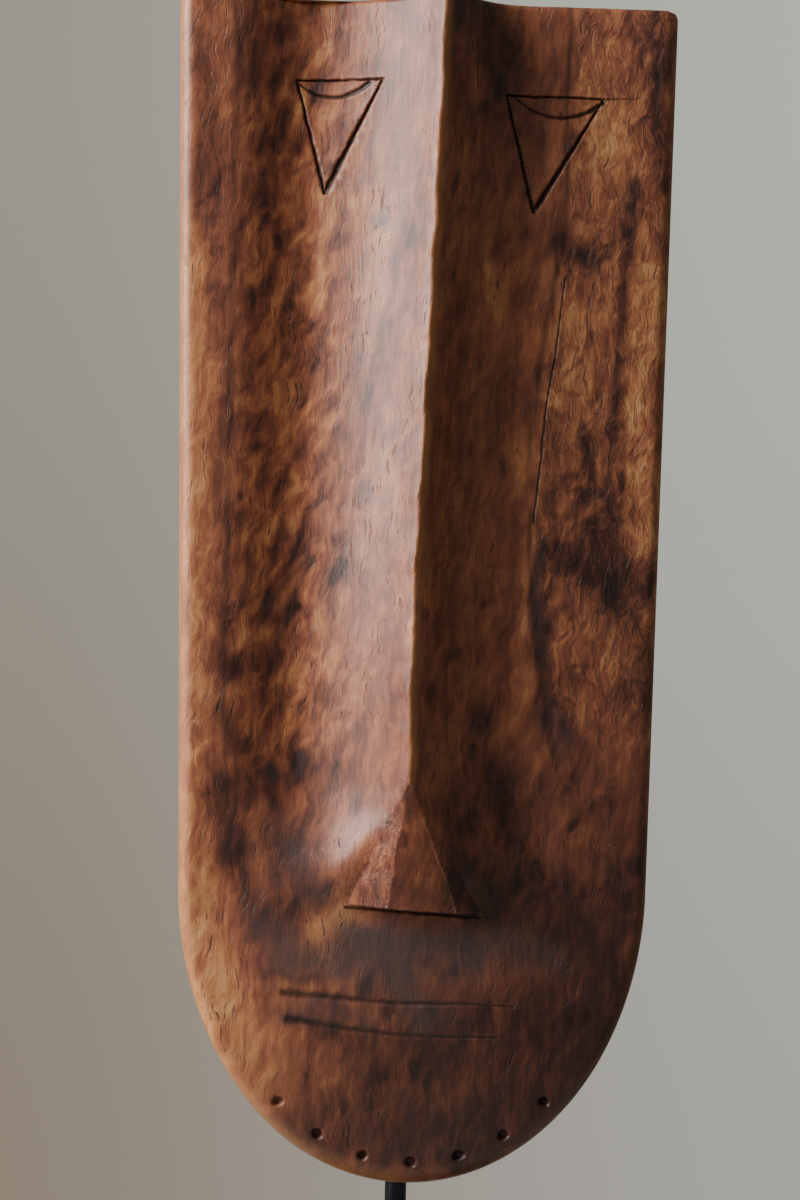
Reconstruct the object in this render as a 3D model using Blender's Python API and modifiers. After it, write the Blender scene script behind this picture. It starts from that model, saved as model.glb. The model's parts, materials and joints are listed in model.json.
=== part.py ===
# Carved wooden face mask, carried on a steel post that stands in a weighted base.
# Metres, +Z up. The mask faces -Y and +X is on the viewer's right.
# The origin is on the table, under the middle of the base plate.

import math

import bmesh
import bpy
from mathutils import Matrix, Vector

# Clearance between pieces that touch
FIT_GAP = 0.0003

# Mask outline: straight, slightly flared sides above a half-elliptic chin
MASK_HEIGHT = 0.501
TOP_HALF_WIDTH = 0.1064
CHIN_HALF_WIDTH = 0.0997
CHIN_HEIGHT = 0.126
TOP_CORNER_RADIUS = 0.0035

# Mask section: front edge to back edge, wood behind the face, width of the back rim
WALL_DEPTH = 0.050
WOOD_THICKNESS = 0.012
RIM_WIDTH = 0.014
SIDE_ROUND = 0.006
TOP_ROUND = 0.002
SIDE_TAPER = 0.003
HOLLOW_FILLET = 0.022

# Face relief, measured forward from the plane of the front edge
RIDGE_RISE = 0.034
RIDGE_LEAN = 0.0345
RIDGE_LEAN_START = 0.231
RIDGE_FOOT_X = -0.0051
LEFT_HOLLOW_DEPTH = 0.012
RIGHT_HOLLOW_DEPTH = 0.008
HOLLOW_BLEND = 0.015
LEFT_FLANK_REACH = 0.080
LEFT_FLANK_CURVE = 2.6
RIGHT_FLANK_CURVE = 2.2
HOLLOW_RAMP = 0.036
FLANK_END_Z = 0.110
FLANK_FULL_Z = 0.166
FLANK_SIDE_FULL_Z = 0.140
FLANK_SIDE = 0.030
CHIN_DOME = 0.006
CHIN_DOME_Z = 0.076
CHIN_DOME_CURVE = 1.5

# Creases that bound the cheek hollows
HOLLOW_CORE = 0.028
LEFT_CREASE_REACH = 0.0541
RIGHT_CREASE_REACH = 0.0534
CREASE_TURN_Z = 0.206
CREASE_FOOT = 0.100
CREASE_POWER = 2.5
RIGHT_CREASE_X = 0.0454
RIGHT_CREASE_Z = 0.291
RIGHT_CREASE_BOW = 1.05
RIGHT_CREASE_LIMIT = 0.0584

# Nose: a flat triangle cut into the foot of the ridge, ending in a ledge
NOSE_BASE_Z = 0.117
NOSE_APEX_Z = 0.173
NOSE_RECEDE = 0.010
NOSE_LEFT_FOOT = -0.0296
NOSE_LEFT_ARRIS = -0.0136
NOSE_RIGHT_ARRIS = 0.0164
NOSE_RIGHT_FOOT = 0.0264
NOSE_LEDGE = 0.002
NOSE_TILT = 0.06

# Incised eyes: inner and outer top corners and lower apex, heights below the top edge
EYE_LINE_RADIUS = 0.0010
EYELID_LINE_RADIUS = 0.0008
LEFT_EYE = ((-0.0562, 0.034), (-0.0205, 0.034), (-0.0436, 0.0815))
RIGHT_EYE = ((0.0323, 0.0386), (0.0741, 0.039), (0.0449, 0.0877))
EYELID_SAG = 0.0055
EYELID_DROP = 0.0025
EYELID_START = 0.12
EYELID_END = 0.80

# Incised mouth: two shallow lines, each with the heights of its left and right ends
MOUTH_LINE_RADIUS = 0.0006
UPPER_LIP = ((-0.0548, 0.0815), (0.0425, 0.0764))
LOWER_LIP = ((-0.0526, 0.0709), (0.0363, 0.0634))
LIP_SAG = 0.0015

# Row of blind pits along the chin
PIT_COUNT = 7
PIT_RADIUS = 0.0026
PIT_INSET = 0.010
PIT_ANGLE = math.radians(13.0)
PIT_SEGMENTS = 10
PIT_RINGS = 6

# Channel behind the ridge: wood left over the ridge, spread and fade toward the chin
CHANNEL_COVER = 0.010
CHANNEL_SPREAD = 0.028
CHANNEL_FADE = 0.060

# Grid of the mask's two sheets
COLUMNS_PER_SIDE = 14
CHIN_ROWS = 13
FACE_ROWS = 26

# Stand
BASE_WIDTH = 0.160
BASE_DEPTH = 0.150
BASE_THICKNESS = 0.015
BASE_CORNER_RADIUS = 0.008
BASE_EDGE_BEVEL = 0.0012
FOOT_RADIUS = 0.009
FOOT_HEIGHT = 0.0035
FOOT_EDGE_INSET = 0.020
FOOT_TAPER_HEIGHT = 0.0014
FOOT_TAPER = 0.0011
POST_RADIUS = 0.00475
POST_CHAMFER = 0.0006
POST_Y = 0.035
CHIN_CLEARANCE = 0.090

SOCKET_FLANGE_RADIUS = 0.021
SOCKET_FLANGE_HEIGHT = 0.006
SOCKET_HUB_RADIUS = 0.0115
SOCKET_HUB_HEIGHT = 0.026
SOCKET_BORE_DEPTH = 0.029
SOCKET_EDGE = 0.0012
SPIGOT_RADIUS = 0.006
WASHER_RADIUS = 0.012
WASHER_THICKNESS = 0.0016
NUT_ACROSS_FLATS = 0.019
NUT_HEIGHT = 0.006
COUNTERBORE_RADIUS = 0.015
COUNTERBORE_COVER = 0.001

CLAMP_HEIGHT = 0.015
CLAMP_SHANK_RADIUS = 0.0025
CLAMP_HEAD_RADIUS = 0.0075
CLAMP_HEAD_LENGTH = 0.008
CLAMP_HEAD_STANDOFF = 0.003
CLAMP_KNURL_DEPTH = 0.0006
CLAMP_KNURLS = 24

# Hanger behind the mask: two straps brazed to a square sleeve
SLEEVE_WALL = 0.003
SLEEVE_END = 0.012
SLEEVE_CORNER = 0.001
STRAP_THICKNESS = 0.003
STRAP_WIDTH = 0.016
STRAP_END_RADIUS = 0.006
STRAP_EDGE_MARGIN = 0.001
STRAP_HEIGHTS = {"lower": 0.150, "upper": 0.330}
PAD_THICKNESS = 0.0015
PLUG_HEAD_HEIGHT = 0.003
PLUG_SPIGOT_LENGTH = 0.008
PLUG_EDGE = 0.001
SCREW_RADIUS = 0.0018
SCREW_LENGTH = 0.022
SCREW_POINT = 0.004
SCREW_HEAD_RADIUS = 0.0037
SCREW_HEAD_HEIGHT = 0.0024
SCREW_HEAD_STEPS = 4

ROUND_STEPS = 32
SMALL_STEPS = 16
SMOOTH_ANGLE = math.radians(35.0)
BEVEL_ANGLE = math.radians(60.0)
MERGE_DISTANCE = 0.00001
CUTTER_OVERSHOOT = 0.010
PARALLEL = 0.99
AXIS_DISPLAY_SIZE = 0.030

# Places that follow from the sizes above
BASE_BOTTOM = FOOT_HEIGHT + FIT_GAP
BASE_TOP = BASE_BOTTOM + BASE_THICKNESS
MASK_BOTTOM = BASE_TOP + CHIN_CLEARANCE
SOCKET_BOTTOM = BASE_TOP + FIT_GAP
SOCKET_FLANGE_TOP = SOCKET_BOTTOM + SOCKET_FLANGE_HEIGHT
SOCKET_TOP = SOCKET_FLANGE_TOP + SOCKET_HUB_HEIGHT
SOCKET_BORE_RADIUS = POST_RADIUS + FIT_GAP
CLAMP_Z = SOCKET_FLANGE_TOP + CLAMP_HEIGHT
SLEEVE_HALF_WIDTH = SOCKET_BORE_RADIUS + SLEEVE_WALL
SLEEVE_BOTTOM = MASK_BOTTOM + STRAP_HEIGHTS["lower"] - STRAP_WIDTH / 2 - SLEEVE_END
SLEEVE_TOP = MASK_BOTTOM + STRAP_HEIGHTS["upper"] + STRAP_WIDTH / 2 + SLEEVE_END
POST_BOTTOM = SOCKET_TOP - SOCKET_BORE_DEPTH + FIT_GAP
POST_TOP = SLEEVE_TOP - PLUG_SPIGOT_LENGTH - FIT_GAP
STRAP_BACK_Y = POST_Y - SLEEVE_HALF_WIDTH - FIT_GAP
STRAP_FRONT_Y = STRAP_BACK_Y - STRAP_THICKNESS
PAD_FRONT_Y = STRAP_FRONT_Y - FIT_GAP - PAD_THICKNESS
MASK_BACK_Y = PAD_FRONT_Y - FIT_GAP
MASK_FRONT_Y = MASK_BACK_Y - WALL_DEPTH
SCREW_HOLE_RADIUS = SCREW_RADIUS + FIT_GAP

for leftover in list(bpy.data.objects):
    bpy.data.objects.remove(leftover, do_unlink=True)

parts = bpy.data.collections.new("carved_mask_on_stand")
cutters = bpy.data.collections.new("cutters")
bpy.context.scene.collection.children.link(parts)
bpy.context.scene.collection.children.link(cutters)


def make_material(name, color, roughness, metallic):
    material = bpy.data.materials.new(name)
    material.use_nodes = True
    shader = material.node_tree.nodes["Principled BSDF"]
    shader.inputs["Base Color"].default_value = (*color, 1.0)
    shader.inputs["Roughness"].default_value = roughness
    shader.inputs["Metallic"].default_value = metallic
    return material


WOOD = make_material("burnished_wood", (0.16, 0.065, 0.035), 0.38, 0.0)
BLACK_STEEL = make_material("blackened_steel", (0.045, 0.047, 0.052), 0.42, 1.0)
PAINTED_STEEL = make_material("painted_steel", (0.030, 0.030, 0.032), 0.55, 0.0)
BRASS = make_material("dull_brass", (0.42, 0.30, 0.13), 0.40, 1.0)
ZINC = make_material("zinc_steel", (0.48, 0.48, 0.46), 0.40, 1.0)
RUBBER = make_material("black_rubber", (0.02, 0.02, 0.02), 0.85, 0.0)
FELT = make_material("dark_felt", (0.07, 0.06, 0.055), 0.95, 0.0)


def finish_object(name, mesh, material, location=(0.0, 0.0, 0.0), parent=None, smooth=True):
    body = bpy.data.objects.new(name, mesh)
    parts.objects.link(body)
    if material is not None:
        mesh.materials.clear()
        mesh.materials.append(material)
    if smooth:
        mesh.shade_smooth()
        mesh.set_sharp_from_angle(angle=SMOOTH_ANGLE)
    body.location = location
    body.parent = parent
    return body


def mesh_from_bmesh(name, bm):
    bmesh.ops.recalc_face_normals(bm, faces=bm.faces)
    mesh = bpy.data.meshes.new(name)
    bm.to_mesh(mesh)
    bm.free()
    return mesh


def make_empty(name, location, parent=None):
    empty = bpy.data.objects.new(name, None)
    empty.empty_display_size = AXIS_DISPLAY_SIZE
    parts.objects.link(empty)
    empty.location = location
    empty.parent = parent
    return empty


def as_cutter(body):
    body.hide_render = True
    body.display_type = "WIRE"
    return body


def cut(body, cutter, operation="DIFFERENCE"):
    modifier = body.modifiers.new("cut_" + cutter.name, "BOOLEAN")
    modifier.operation = operation
    modifier.object = cutter
    return modifier


def cylinder_cutter(name, radius, start, end, steps=ROUND_STEPS, parent=None):
    start = Vector(start)
    end = Vector(end)
    along = end - start
    turn = Vector((0.0, 0.0, 1.0)).rotation_difference(along).to_matrix().to_4x4()
    bm = bmesh.new()
    bmesh.ops.create_cone(
        bm,
        cap_ends=True,
        segments=steps,
        radius1=radius,
        radius2=radius,
        depth=along.length,
        matrix=turn,
    )
    mesh = mesh_from_bmesh(name, bm)
    cutter = bpy.data.objects.new(name, mesh)
    cutters.objects.link(cutter)
    cutter.location = (start + end) / 2
    cutter.parent = parent
    return as_cutter(cutter)


def turned_object(name, profile, material, location, parent=None, steps=ROUND_STEPS):
    # profile: (radius, height) from the top of the axis down the outside to its bottom
    mesh = bpy.data.meshes.new(name)
    corners = [(radius, 0.0, height) for radius, height in profile]
    edges = [(index, index + 1) for index in range(len(profile) - 1)]
    mesh.from_pydata(corners, edges, [])
    body = finish_object(name, mesh, material, location, parent, smooth=False)
    turn = body.modifiers.new("turn", "SCREW")
    turn.axis = "Z"
    turn.steps = steps
    turn.render_steps = steps
    turn.use_merge_vertices = True
    turn.merge_threshold = MERGE_DISTANCE
    turn.use_smooth_shade = False
    return body


def block_mesh(name, size, corner_radius=0.0, corner_axis=2, segments=4):
    bm = bmesh.new()
    bmesh.ops.create_cube(bm, size=1.0, matrix=Matrix.Diagonal((*size, 1.0)))
    if corner_radius > 0.0:
        upright = []
        for edge in bm.edges:
            direction = (edge.verts[1].co - edge.verts[0].co).normalized()
            if abs(direction[corner_axis]) > PARALLEL:
                upright.append(edge)
        bmesh.ops.bevel(
            bm, geom=upright, offset=corner_radius, segments=segments, profile=0.5, affect="EDGES"
        )
    return mesh_from_bmesh(name, bm)


# Mask shape


def mix(start, end, share):
    return start + (end - start) * share


def clamp(value):
    return max(0.0, min(1.0, value))


def ease(value):
    # Smooth step from 0 to 1
    share = clamp(value)
    return share * share * (3.0 - 2.0 * share)


def half_width(z):
    share = clamp((z - CHIN_HEIGHT) / (MASK_HEIGHT - CHIN_HEIGHT))
    width = mix(CHIN_HALF_WIDTH, TOP_HALF_WIDTH, share)
    under_top = MASK_HEIGHT - z
    if under_top < TOP_CORNER_RADIUS:
        rise = TOP_CORNER_RADIUS - under_top
        width -= TOP_CORNER_RADIUS - math.sqrt(TOP_CORNER_RADIUS ** 2 - rise ** 2)
    return width


def edge_distance(x, z):
    # Distance inside the sides and the chin of the outline
    if z >= CHIN_HEIGHT:
        return half_width(z) - abs(x)
    radial = math.hypot(x / CHIN_HALF_WIDTH, (CHIN_HEIGHT - z) / CHIN_HEIGHT)
    return (1.0 - radial) * CHIN_HALF_WIDTH


def ridge_x(z):
    lean = RIDGE_LEAN * max(0.0, z - RIDGE_LEAN_START)
    return (RIDGE_FOOT_X + lean) * clamp(z / NOSE_BASE_Z)


def right_crease(z):
    bow = RIGHT_CREASE_X + RIGHT_CREASE_BOW * (z - RIGHT_CREASE_Z) ** 2
    return min(bow, RIGHT_CREASE_LIMIT) if z > RIGHT_CREASE_Z else bow


def crease_inset(x, z):
    # Distance inside the crease round a cheek hollow, negative on the rim
    reach = RIGHT_CREASE_REACH if x > ridge_x(z) else LEFT_CREASE_REACH
    sideways = max(0.0, abs(x) - HOLLOW_CORE) / reach
    downward = max(0.0, CREASE_TURN_Z - z) / CREASE_FOOT
    radial = (sideways ** CREASE_POWER + downward ** CREASE_POWER) ** (1.0 / CREASE_POWER)
    inset = (1.0 - radial) * reach
    if x > ridge_x(z):
        inset = min(inset, right_crease(z) - x)
    return inset


def chin_dome(x, z):
    across = x / CHIN_HALF_WIDTH
    along = (z - CHIN_DOME_Z) / (CHIN_DOME_Z + PIT_INSET)
    return CHIN_DOME * max(0.0, 1.0 - across ** 2 - along ** 2) ** CHIN_DOME_CURVE


def hollow_depth(x, z):
    side = math.tanh((x - ridge_x(z)) / HOLLOW_BLEND)
    depth = mix(LEFT_HOLLOW_DEPTH, RIGHT_HOLLOW_DEPTH, (side + 1.0) / 2)
    return depth * ease(crease_inset(x, z) / HOLLOW_RAMP)


def flank_rise(x, z):
    # The ridge stands full height above the nose, and its flanks a little lower at the sides
    offset = x - ridge_x(z)
    full_z = mix(FLANK_FULL_Z, FLANK_SIDE_FULL_Z, ease(abs(offset) / FLANK_SIDE))
    rise = RIDGE_RISE * ease((z - FLANK_END_Z) / (full_z - FLANK_END_Z))
    if offset < 0.0:
        return rise * max(0.0, 1.0 + offset / LEFT_FLANK_REACH) ** LEFT_FLANK_CURVE
    reach = right_crease(z) - ridge_x(z)
    return rise * max(0.0, 1.0 - offset / reach) ** RIGHT_FLANK_CURVE


def nose_base_z(x):
    return NOSE_BASE_Z - NOSE_TILT * x


def fluted_face(x, z):
    return chin_dome(x, z) - hollow_depth(x, z) + flank_rise(x, z)


def face_height(x, z, above_ledge):
    # Height forward of the front edge plane, before the edges are rounded
    cut_share = clamp((NOSE_APEX_Z - z) / (NOSE_APEX_Z - NOSE_BASE_Z))
    if cut_share == 0.0 or not above_ledge:
        return fluted_face(x, z)
    ridge = ridge_x(z)
    left_foot = mix(ridge, NOSE_LEFT_FOOT, cut_share)
    left_arris = mix(ridge, NOSE_LEFT_ARRIS, cut_share)
    right_arris = mix(ridge, NOSE_RIGHT_ARRIS, cut_share)
    right_foot = mix(ridge, NOSE_RIGHT_FOOT, cut_share)
    front = fluted_face(ridge, NOSE_APEX_Z) - NOSE_RECEDE * cut_share
    if x <= left_foot or x >= right_foot:
        return fluted_face(x, z)
    if x < left_arris:
        return mix(fluted_face(left_foot, z), front, (x - left_foot) / (left_arris - left_foot))
    if x > right_arris:
        return mix(front, fluted_face(right_foot, z), (x - right_arris) / (right_foot - right_arris))
    return front


def rounded_drop(distance, radius):
    short = clamp(1.0 - distance / radius)
    return radius * (1.0 - math.sqrt(1.0 - short ** 2))


def front_point(x, z, above_ledge=None):
    if above_ledge is None:
        above_ledge = z > nose_base_z(x)
    drop = rounded_drop(edge_distance(x, z), SIDE_ROUND)
    drop = max(drop, rounded_drop(MASK_HEIGHT - z, TOP_ROUND))
    return Vector((x, drop - face_height(x, z, above_ledge), z))


def outline_point(across, row_z, inset=0.0):
    # across runs -1 to 1 along a row whose height on the centre line is row_z
    top = MASK_HEIGHT - inset
    row_z = mix(inset, top, row_z / MASK_HEIGHT)
    if row_z >= CHIN_HEIGHT:
        x = across * (half_width(row_z) - inset)
        z = row_z
    else:
        drop = (CHIN_HEIGHT - row_z) / (CHIN_HEIGHT - inset)
        x = across * (CHIN_HALF_WIDTH - inset) * math.sqrt(1.0 - drop ** 2 / 2)
        z = CHIN_HEIGHT - (CHIN_HEIGHT - inset) * drop * math.sqrt(1.0 - across ** 2 / 2)
    return x, z


def follow_ridge(across, x, z):
    x += (1.0 - across ** 2) * ridge_x(z)
    near_base = clamp(1.0 - abs(z - NOSE_BASE_Z) / CHIN_HEIGHT)
    z -= NOSE_TILT * x * (1.0 - across ** 2) * near_base ** 2
    return x, z


def gather(share):
    # Even steps gathered toward both ends of 0 to 1
    return (1.0 - math.cos(math.pi * share)) / 2


def column_across(position):
    # position runs -1 to 1 over the grid, with columns gathered at the ridge and the sides
    return math.copysign(gather(abs(position)), position)


def row_height(position):
    # position runs -1 to 1 over the grid, with a pair of rows along the nose ledge
    row = round((position + 1.0) / 2 * (CHIN_ROWS + FACE_ROWS + 1))
    if row <= CHIN_ROWS:
        return gather(row / CHIN_ROWS) * (NOSE_BASE_Z - NOSE_LEDGE), False
    share = gather((row - CHIN_ROWS - 1) / FACE_ROWS)
    return mix(NOSE_BASE_Z, MASK_HEIGHT, share), True


def back_floor(x, z):
    # Depth of the hollow's floor behind the front edge plane
    offset = x - ridge_x(z)
    channel = (RIDGE_RISE - CHANNEL_COVER) * math.exp(-((offset / CHANNEL_SPREAD) ** 2))
    channel *= clamp((z - NOSE_BASE_Z) / CHANNEL_FADE + 0.5)
    return WOOD_THICKNESS + hollow_depth(x, z) - channel - chin_dome(x, z) / 2


def inner_distance(x, z):
    sides = edge_distance(x, z) - RIM_WIDTH
    return min(sides, MASK_HEIGHT - z - RIM_WIDTH)


def build_mask():
    columns = 2 * COLUMNS_PER_SIDE
    rows = CHIN_ROWS + FACE_ROWS + 1
    bm = bmesh.new()
    position_x = bm.verts.layers.float.new("grid_x")
    position_z = bm.verts.layers.float.new("grid_z")
    bmesh.ops.create_grid(bm, x_segments=columns, y_segments=rows, size=1.0)
    for vertex in bm.verts:
        vertex[position_x] = vertex.co.x
        vertex[position_z] = vertex.co.y
        across = column_across(vertex.co.x)
        row_z, above_ledge = row_height(vertex.co.y)
        x, z = follow_ridge(across, *outline_point(across, row_z))
        vertex.co = front_point(x, z, above_ledge)
    edge = [edge for edge in bm.edges if edge.is_boundary]

    def extrude_rim(edges, inset, depth):
        made = bmesh.ops.extrude_edge_only(bm, edges=edges)["geom"]
        for vertex in made:
            if isinstance(vertex, bmesh.types.BMVert):
                across = column_across(vertex[position_x])
                row_z, _ = row_height(vertex[position_z])
                x, z = outline_point(across, row_z, inset)
                vertex.co = Vector((x, depth, z))
        return [item for item in made if isinstance(item, bmesh.types.BMEdge) and item.is_boundary]

    edge = extrude_rim(edge, SIDE_TAPER, WALL_DEPTH)
    extrude_rim(edge, SIDE_TAPER + RIM_WIDTH, WALL_DEPTH)

    inside = bmesh.ops.create_grid(bm, x_segments=columns, y_segments=rows, size=1.0)["verts"]
    inner_inset = SIDE_TAPER + RIM_WIDTH
    for vertex in inside:
        across = column_across(vertex.co.x)
        row_z, _ = row_height(vertex.co.y)
        edge_of_grid = vertex.is_boundary
        x, z = outline_point(across, row_z, inner_inset)
        if edge_of_grid:
            vertex.co = Vector((x, WALL_DEPTH, z))
            continue
        x, z = follow_ridge(across, x, z)
        floor = back_floor(x, z)
        short = clamp(1.0 - (inner_distance(x, z) - SIDE_TAPER) / HOLLOW_FILLET)
        wall = 1.0 - math.sqrt(1.0 - short ** 2)
        vertex.co = Vector((x, mix(floor, WALL_DEPTH, wall), z))
    bmesh.ops.remove_doubles(bm, verts=bm.verts, dist=MERGE_DISTANCE)
    return mesh_from_bmesh("mask", bm)


def surface_line(name, points, radius, cyclic=False):
    # A four-sided cutter laid along the carved surface
    curve = bpy.data.curves.new(name, "CURVE")
    curve.dimensions = "3D"
    curve.bevel_depth = radius
    curve.bevel_resolution = 0
    curve.use_fill_caps = not cyclic
    spline = curve.splines.new("POLY")
    spline.points.add(len(points) - 1)
    spline.use_cyclic_u = cyclic
    for target, (x, z) in zip(spline.points, points):
        target.co = (*front_point(x, z), 1.0)
    guide = bpy.data.objects.new(name + "_guide", curve)
    cutters.objects.link(guide)
    bpy.context.view_layer.update()
    evaluated = guide.evaluated_get(bpy.context.evaluated_depsgraph_get())
    mesh = bpy.data.meshes.new_from_object(evaluated)
    bm = bmesh.new()
    bm.from_mesh(mesh)
    bmesh.ops.remove_doubles(bm, verts=bm.verts, dist=MERGE_DISTANCE)
    bmesh.ops.recalc_face_normals(bm, faces=bm.faces)
    bm.to_mesh(mesh)
    bm.free()
    bpy.data.objects.remove(guide, do_unlink=True)
    line = bpy.data.objects.new(name, mesh)
    cutters.objects.link(line)
    return as_cutter(line)


def straight_points(start, end, steps):
    return [
        (mix(start[0], end[0], step / steps), mix(start[1], end[1], step / steps))
        for step in range(steps)
    ]


def eye_corners(eye):
    return [(x, MASK_HEIGHT - drop) for x, drop in eye]


def eye_outline(eye, steps=6):
    first, second, apex = eye_corners(eye)
    outline = straight_points(first, second, steps)
    outline += straight_points(second, apex, steps)
    outline += straight_points(apex, first, steps)
    return outline


def eyelid_points(eye, steps=7):
    first, second, _ = eye_corners(eye)
    points = []
    for step in range(steps + 1):
        share = mix(EYELID_START, EYELID_END, step / steps)
        sag = EYELID_SAG * math.sin(math.pi * step / steps) + EYELID_DROP
        points.append((mix(first[0], second[0], share), mix(first[1], second[1], share) - sag))
    return points


def lip_points(lip, steps=14):
    points = []
    for step in range(steps + 1):
        share = step / steps
        x = mix(lip[0][0], lip[1][0], share)
        points.append((x, mix(lip[0][1], lip[1][1], share) - LIP_SAG * math.sin(math.pi * share)))
    return points


def pit_places():
    middle = (PIT_COUNT - 1) / 2
    for index in range(PIT_COUNT):
        angle = (index - middle) * PIT_ANGLE
        x = (CHIN_HALF_WIDTH - PIT_INSET) * math.sin(angle)
        z = CHIN_HEIGHT - (CHIN_HEIGHT - PIT_INSET) * math.cos(angle)
        yield x, z


def pit_cutter(name, x, z):
    bm = bmesh.new()
    bmesh.ops.create_uvsphere(bm, u_segments=PIT_SEGMENTS, v_segments=PIT_RINGS, radius=PIT_RADIUS)
    pit = bpy.data.objects.new(name, mesh_from_bmesh(name, bm))
    cutters.objects.link(pit)
    pit.location = front_point(x, z)
    return as_cutter(pit)


def rim_screw_x(height):
    return half_width(height) - SIDE_TAPER - RIM_WIDTH / 2


# Moving frames

post_axis = make_empty("post_swivel_axis", (0.0, POST_Y, SOCKET_TOP))
carrier = make_empty("mask_lift_axis", (0.0, 0.0, POST_TOP - SOCKET_TOP), post_axis)
CARRIER_ORIGIN = Vector((0.0, POST_Y, POST_TOP))


def on_carrier(x, y, z):
    return Vector((x, y, z)) - CARRIER_ORIGIN


# Mask

mask_place = on_carrier(0.0, MASK_FRONT_Y, MASK_BOTTOM)
mask = finish_object("mask", build_mask(), WOOD, mask_place, carrier)

mask_cutters = [
    surface_line("left_eye_line", eye_outline(LEFT_EYE), EYE_LINE_RADIUS, cyclic=True),
    surface_line("right_eye_line", eye_outline(RIGHT_EYE), EYE_LINE_RADIUS, cyclic=True),
    surface_line("left_eyelid_line", eyelid_points(LEFT_EYE), EYELID_LINE_RADIUS),
    surface_line("right_eyelid_line", eyelid_points(RIGHT_EYE), EYELID_LINE_RADIUS),
    surface_line("upper_lip_line", lip_points(UPPER_LIP), MOUTH_LINE_RADIUS),
    surface_line("lower_lip_line", lip_points(LOWER_LIP), MOUTH_LINE_RADIUS),
]
for number, place in enumerate(pit_places(), 1):
    mask_cutters.append(pit_cutter(f"chin_pit_{number}", *place))
for cutter in mask_cutters:
    cutter.location += mask_place
    cutter.parent = carrier
    cut(mask, cutter)


# Stand

base_mesh = block_mesh("base_plate", (BASE_WIDTH, BASE_DEPTH, BASE_THICKNESS), BASE_CORNER_RADIUS)
base_plate = finish_object(
    "base_plate", base_mesh, PAINTED_STEEL, (0.0, 0.0, BASE_BOTTOM + BASE_THICKNESS / 2)
)
softened = base_plate.modifiers.new("edge_bevel", "BEVEL")
softened.width = BASE_EDGE_BEVEL
softened.segments = 2
softened.limit_method = "ANGLE"
softened.angle_limit = BEVEL_ANGLE

counterbore_top = BASE_BOTTOM + WASHER_THICKNESS + NUT_HEIGHT + 2 * FIT_GAP + COUNTERBORE_COVER
hole_radius = SPIGOT_RADIUS + FIT_GAP
below_base = (0.0, POST_Y, BASE_BOTTOM - CUTTER_OVERSHOOT)
above_base = (0.0, POST_Y, BASE_TOP + CUTTER_OVERSHOOT)
cut(base_plate, cylinder_cutter("spigot_hole", hole_radius, below_base, above_base))
nut_pocket_end = (0.0, POST_Y, counterbore_top)
cut(base_plate, cylinder_cutter("nut_counterbore", COUNTERBORE_RADIUS, below_base, nut_pocket_end))

foot_profile = [
    (0.0, FOOT_HEIGHT),
    (FOOT_RADIUS, FOOT_HEIGHT),
    (FOOT_RADIUS, FOOT_TAPER_HEIGHT),
    (FOOT_RADIUS - FOOT_TAPER, 0.0),
    (0.0, 0.0),
]
for side_x, side_word in ((-1, "left"), (1, "right")):
    for side_y, end_word in ((-1, "front"), (1, "rear")):
        foot_x = side_x * (BASE_WIDTH / 2 - FOOT_EDGE_INSET)
        foot_y = side_y * (BASE_DEPTH / 2 - FOOT_EDGE_INSET)
        foot_place = (foot_x, foot_y, 0.0)
        turned_object(f"{end_word}_{side_word}_foot", foot_profile, RUBBER, foot_place, steps=SMALL_STEPS)

washer_top = counterbore_top - FIT_GAP
nut_top = washer_top - WASHER_THICKNESS - FIT_GAP
nut_bottom = nut_top - NUT_HEIGHT

socket_profile = [
    (0.0, SOCKET_TOP - SOCKET_BORE_DEPTH),
    (SOCKET_BORE_RADIUS, SOCKET_TOP - SOCKET_BORE_DEPTH),
    (SOCKET_BORE_RADIUS, SOCKET_TOP),
    (SOCKET_HUB_RADIUS - SOCKET_EDGE, SOCKET_TOP),
    (SOCKET_HUB_RADIUS, SOCKET_TOP - SOCKET_EDGE),
    (SOCKET_HUB_RADIUS, SOCKET_FLANGE_TOP + SOCKET_EDGE),
    (SOCKET_HUB_RADIUS + SOCKET_EDGE, SOCKET_FLANGE_TOP),
    (SOCKET_FLANGE_RADIUS - SOCKET_EDGE, SOCKET_FLANGE_TOP),
    (SOCKET_FLANGE_RADIUS, SOCKET_FLANGE_TOP - SOCKET_EDGE),
    (SOCKET_FLANGE_RADIUS, SOCKET_BOTTOM),
    (SPIGOT_RADIUS, SOCKET_BOTTOM),
    (SPIGOT_RADIUS, nut_bottom),
    (0.0, nut_bottom),
]
post_socket = turned_object("post_socket", socket_profile, BLACK_STEEL, (0.0, POST_Y, 0.0))
cut(
    post_socket,
    cylinder_cutter(
        "clamp_hole",
        CLAMP_SHANK_RADIUS + FIT_GAP,
        (0.0, POST_Y + SOCKET_BORE_RADIUS / 2, CLAMP_Z),
        (0.0, POST_Y + 2 * SOCKET_HUB_RADIUS, CLAMP_Z),
        SMALL_STEPS,
    ),
)

washer_profile = [
    (hole_radius, washer_top - WASHER_THICKNESS),
    (hole_radius, washer_top),
    (WASHER_RADIUS, washer_top),
    (WASHER_RADIUS, washer_top - WASHER_THICKNESS),
    (hole_radius, washer_top - WASHER_THICKNESS),
]
turned_object("socket_washer", washer_profile, ZINC, (0.0, POST_Y, 0.0))

bm = bmesh.new()
nut_corner_radius = NUT_ACROSS_FLATS / math.sqrt(3.0)
bmesh.ops.create_cone(
    bm, cap_ends=True, segments=6, radius1=nut_corner_radius, radius2=nut_corner_radius, depth=NUT_HEIGHT
)
socket_nut = finish_object(
    "socket_nut", mesh_from_bmesh("socket_nut", bm), ZINC, (0.0, POST_Y, nut_bottom + NUT_HEIGHT / 2)
)
cut(socket_nut, cylinder_cutter("nut_thread_hole", hole_radius, below_base, above_base))


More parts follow.
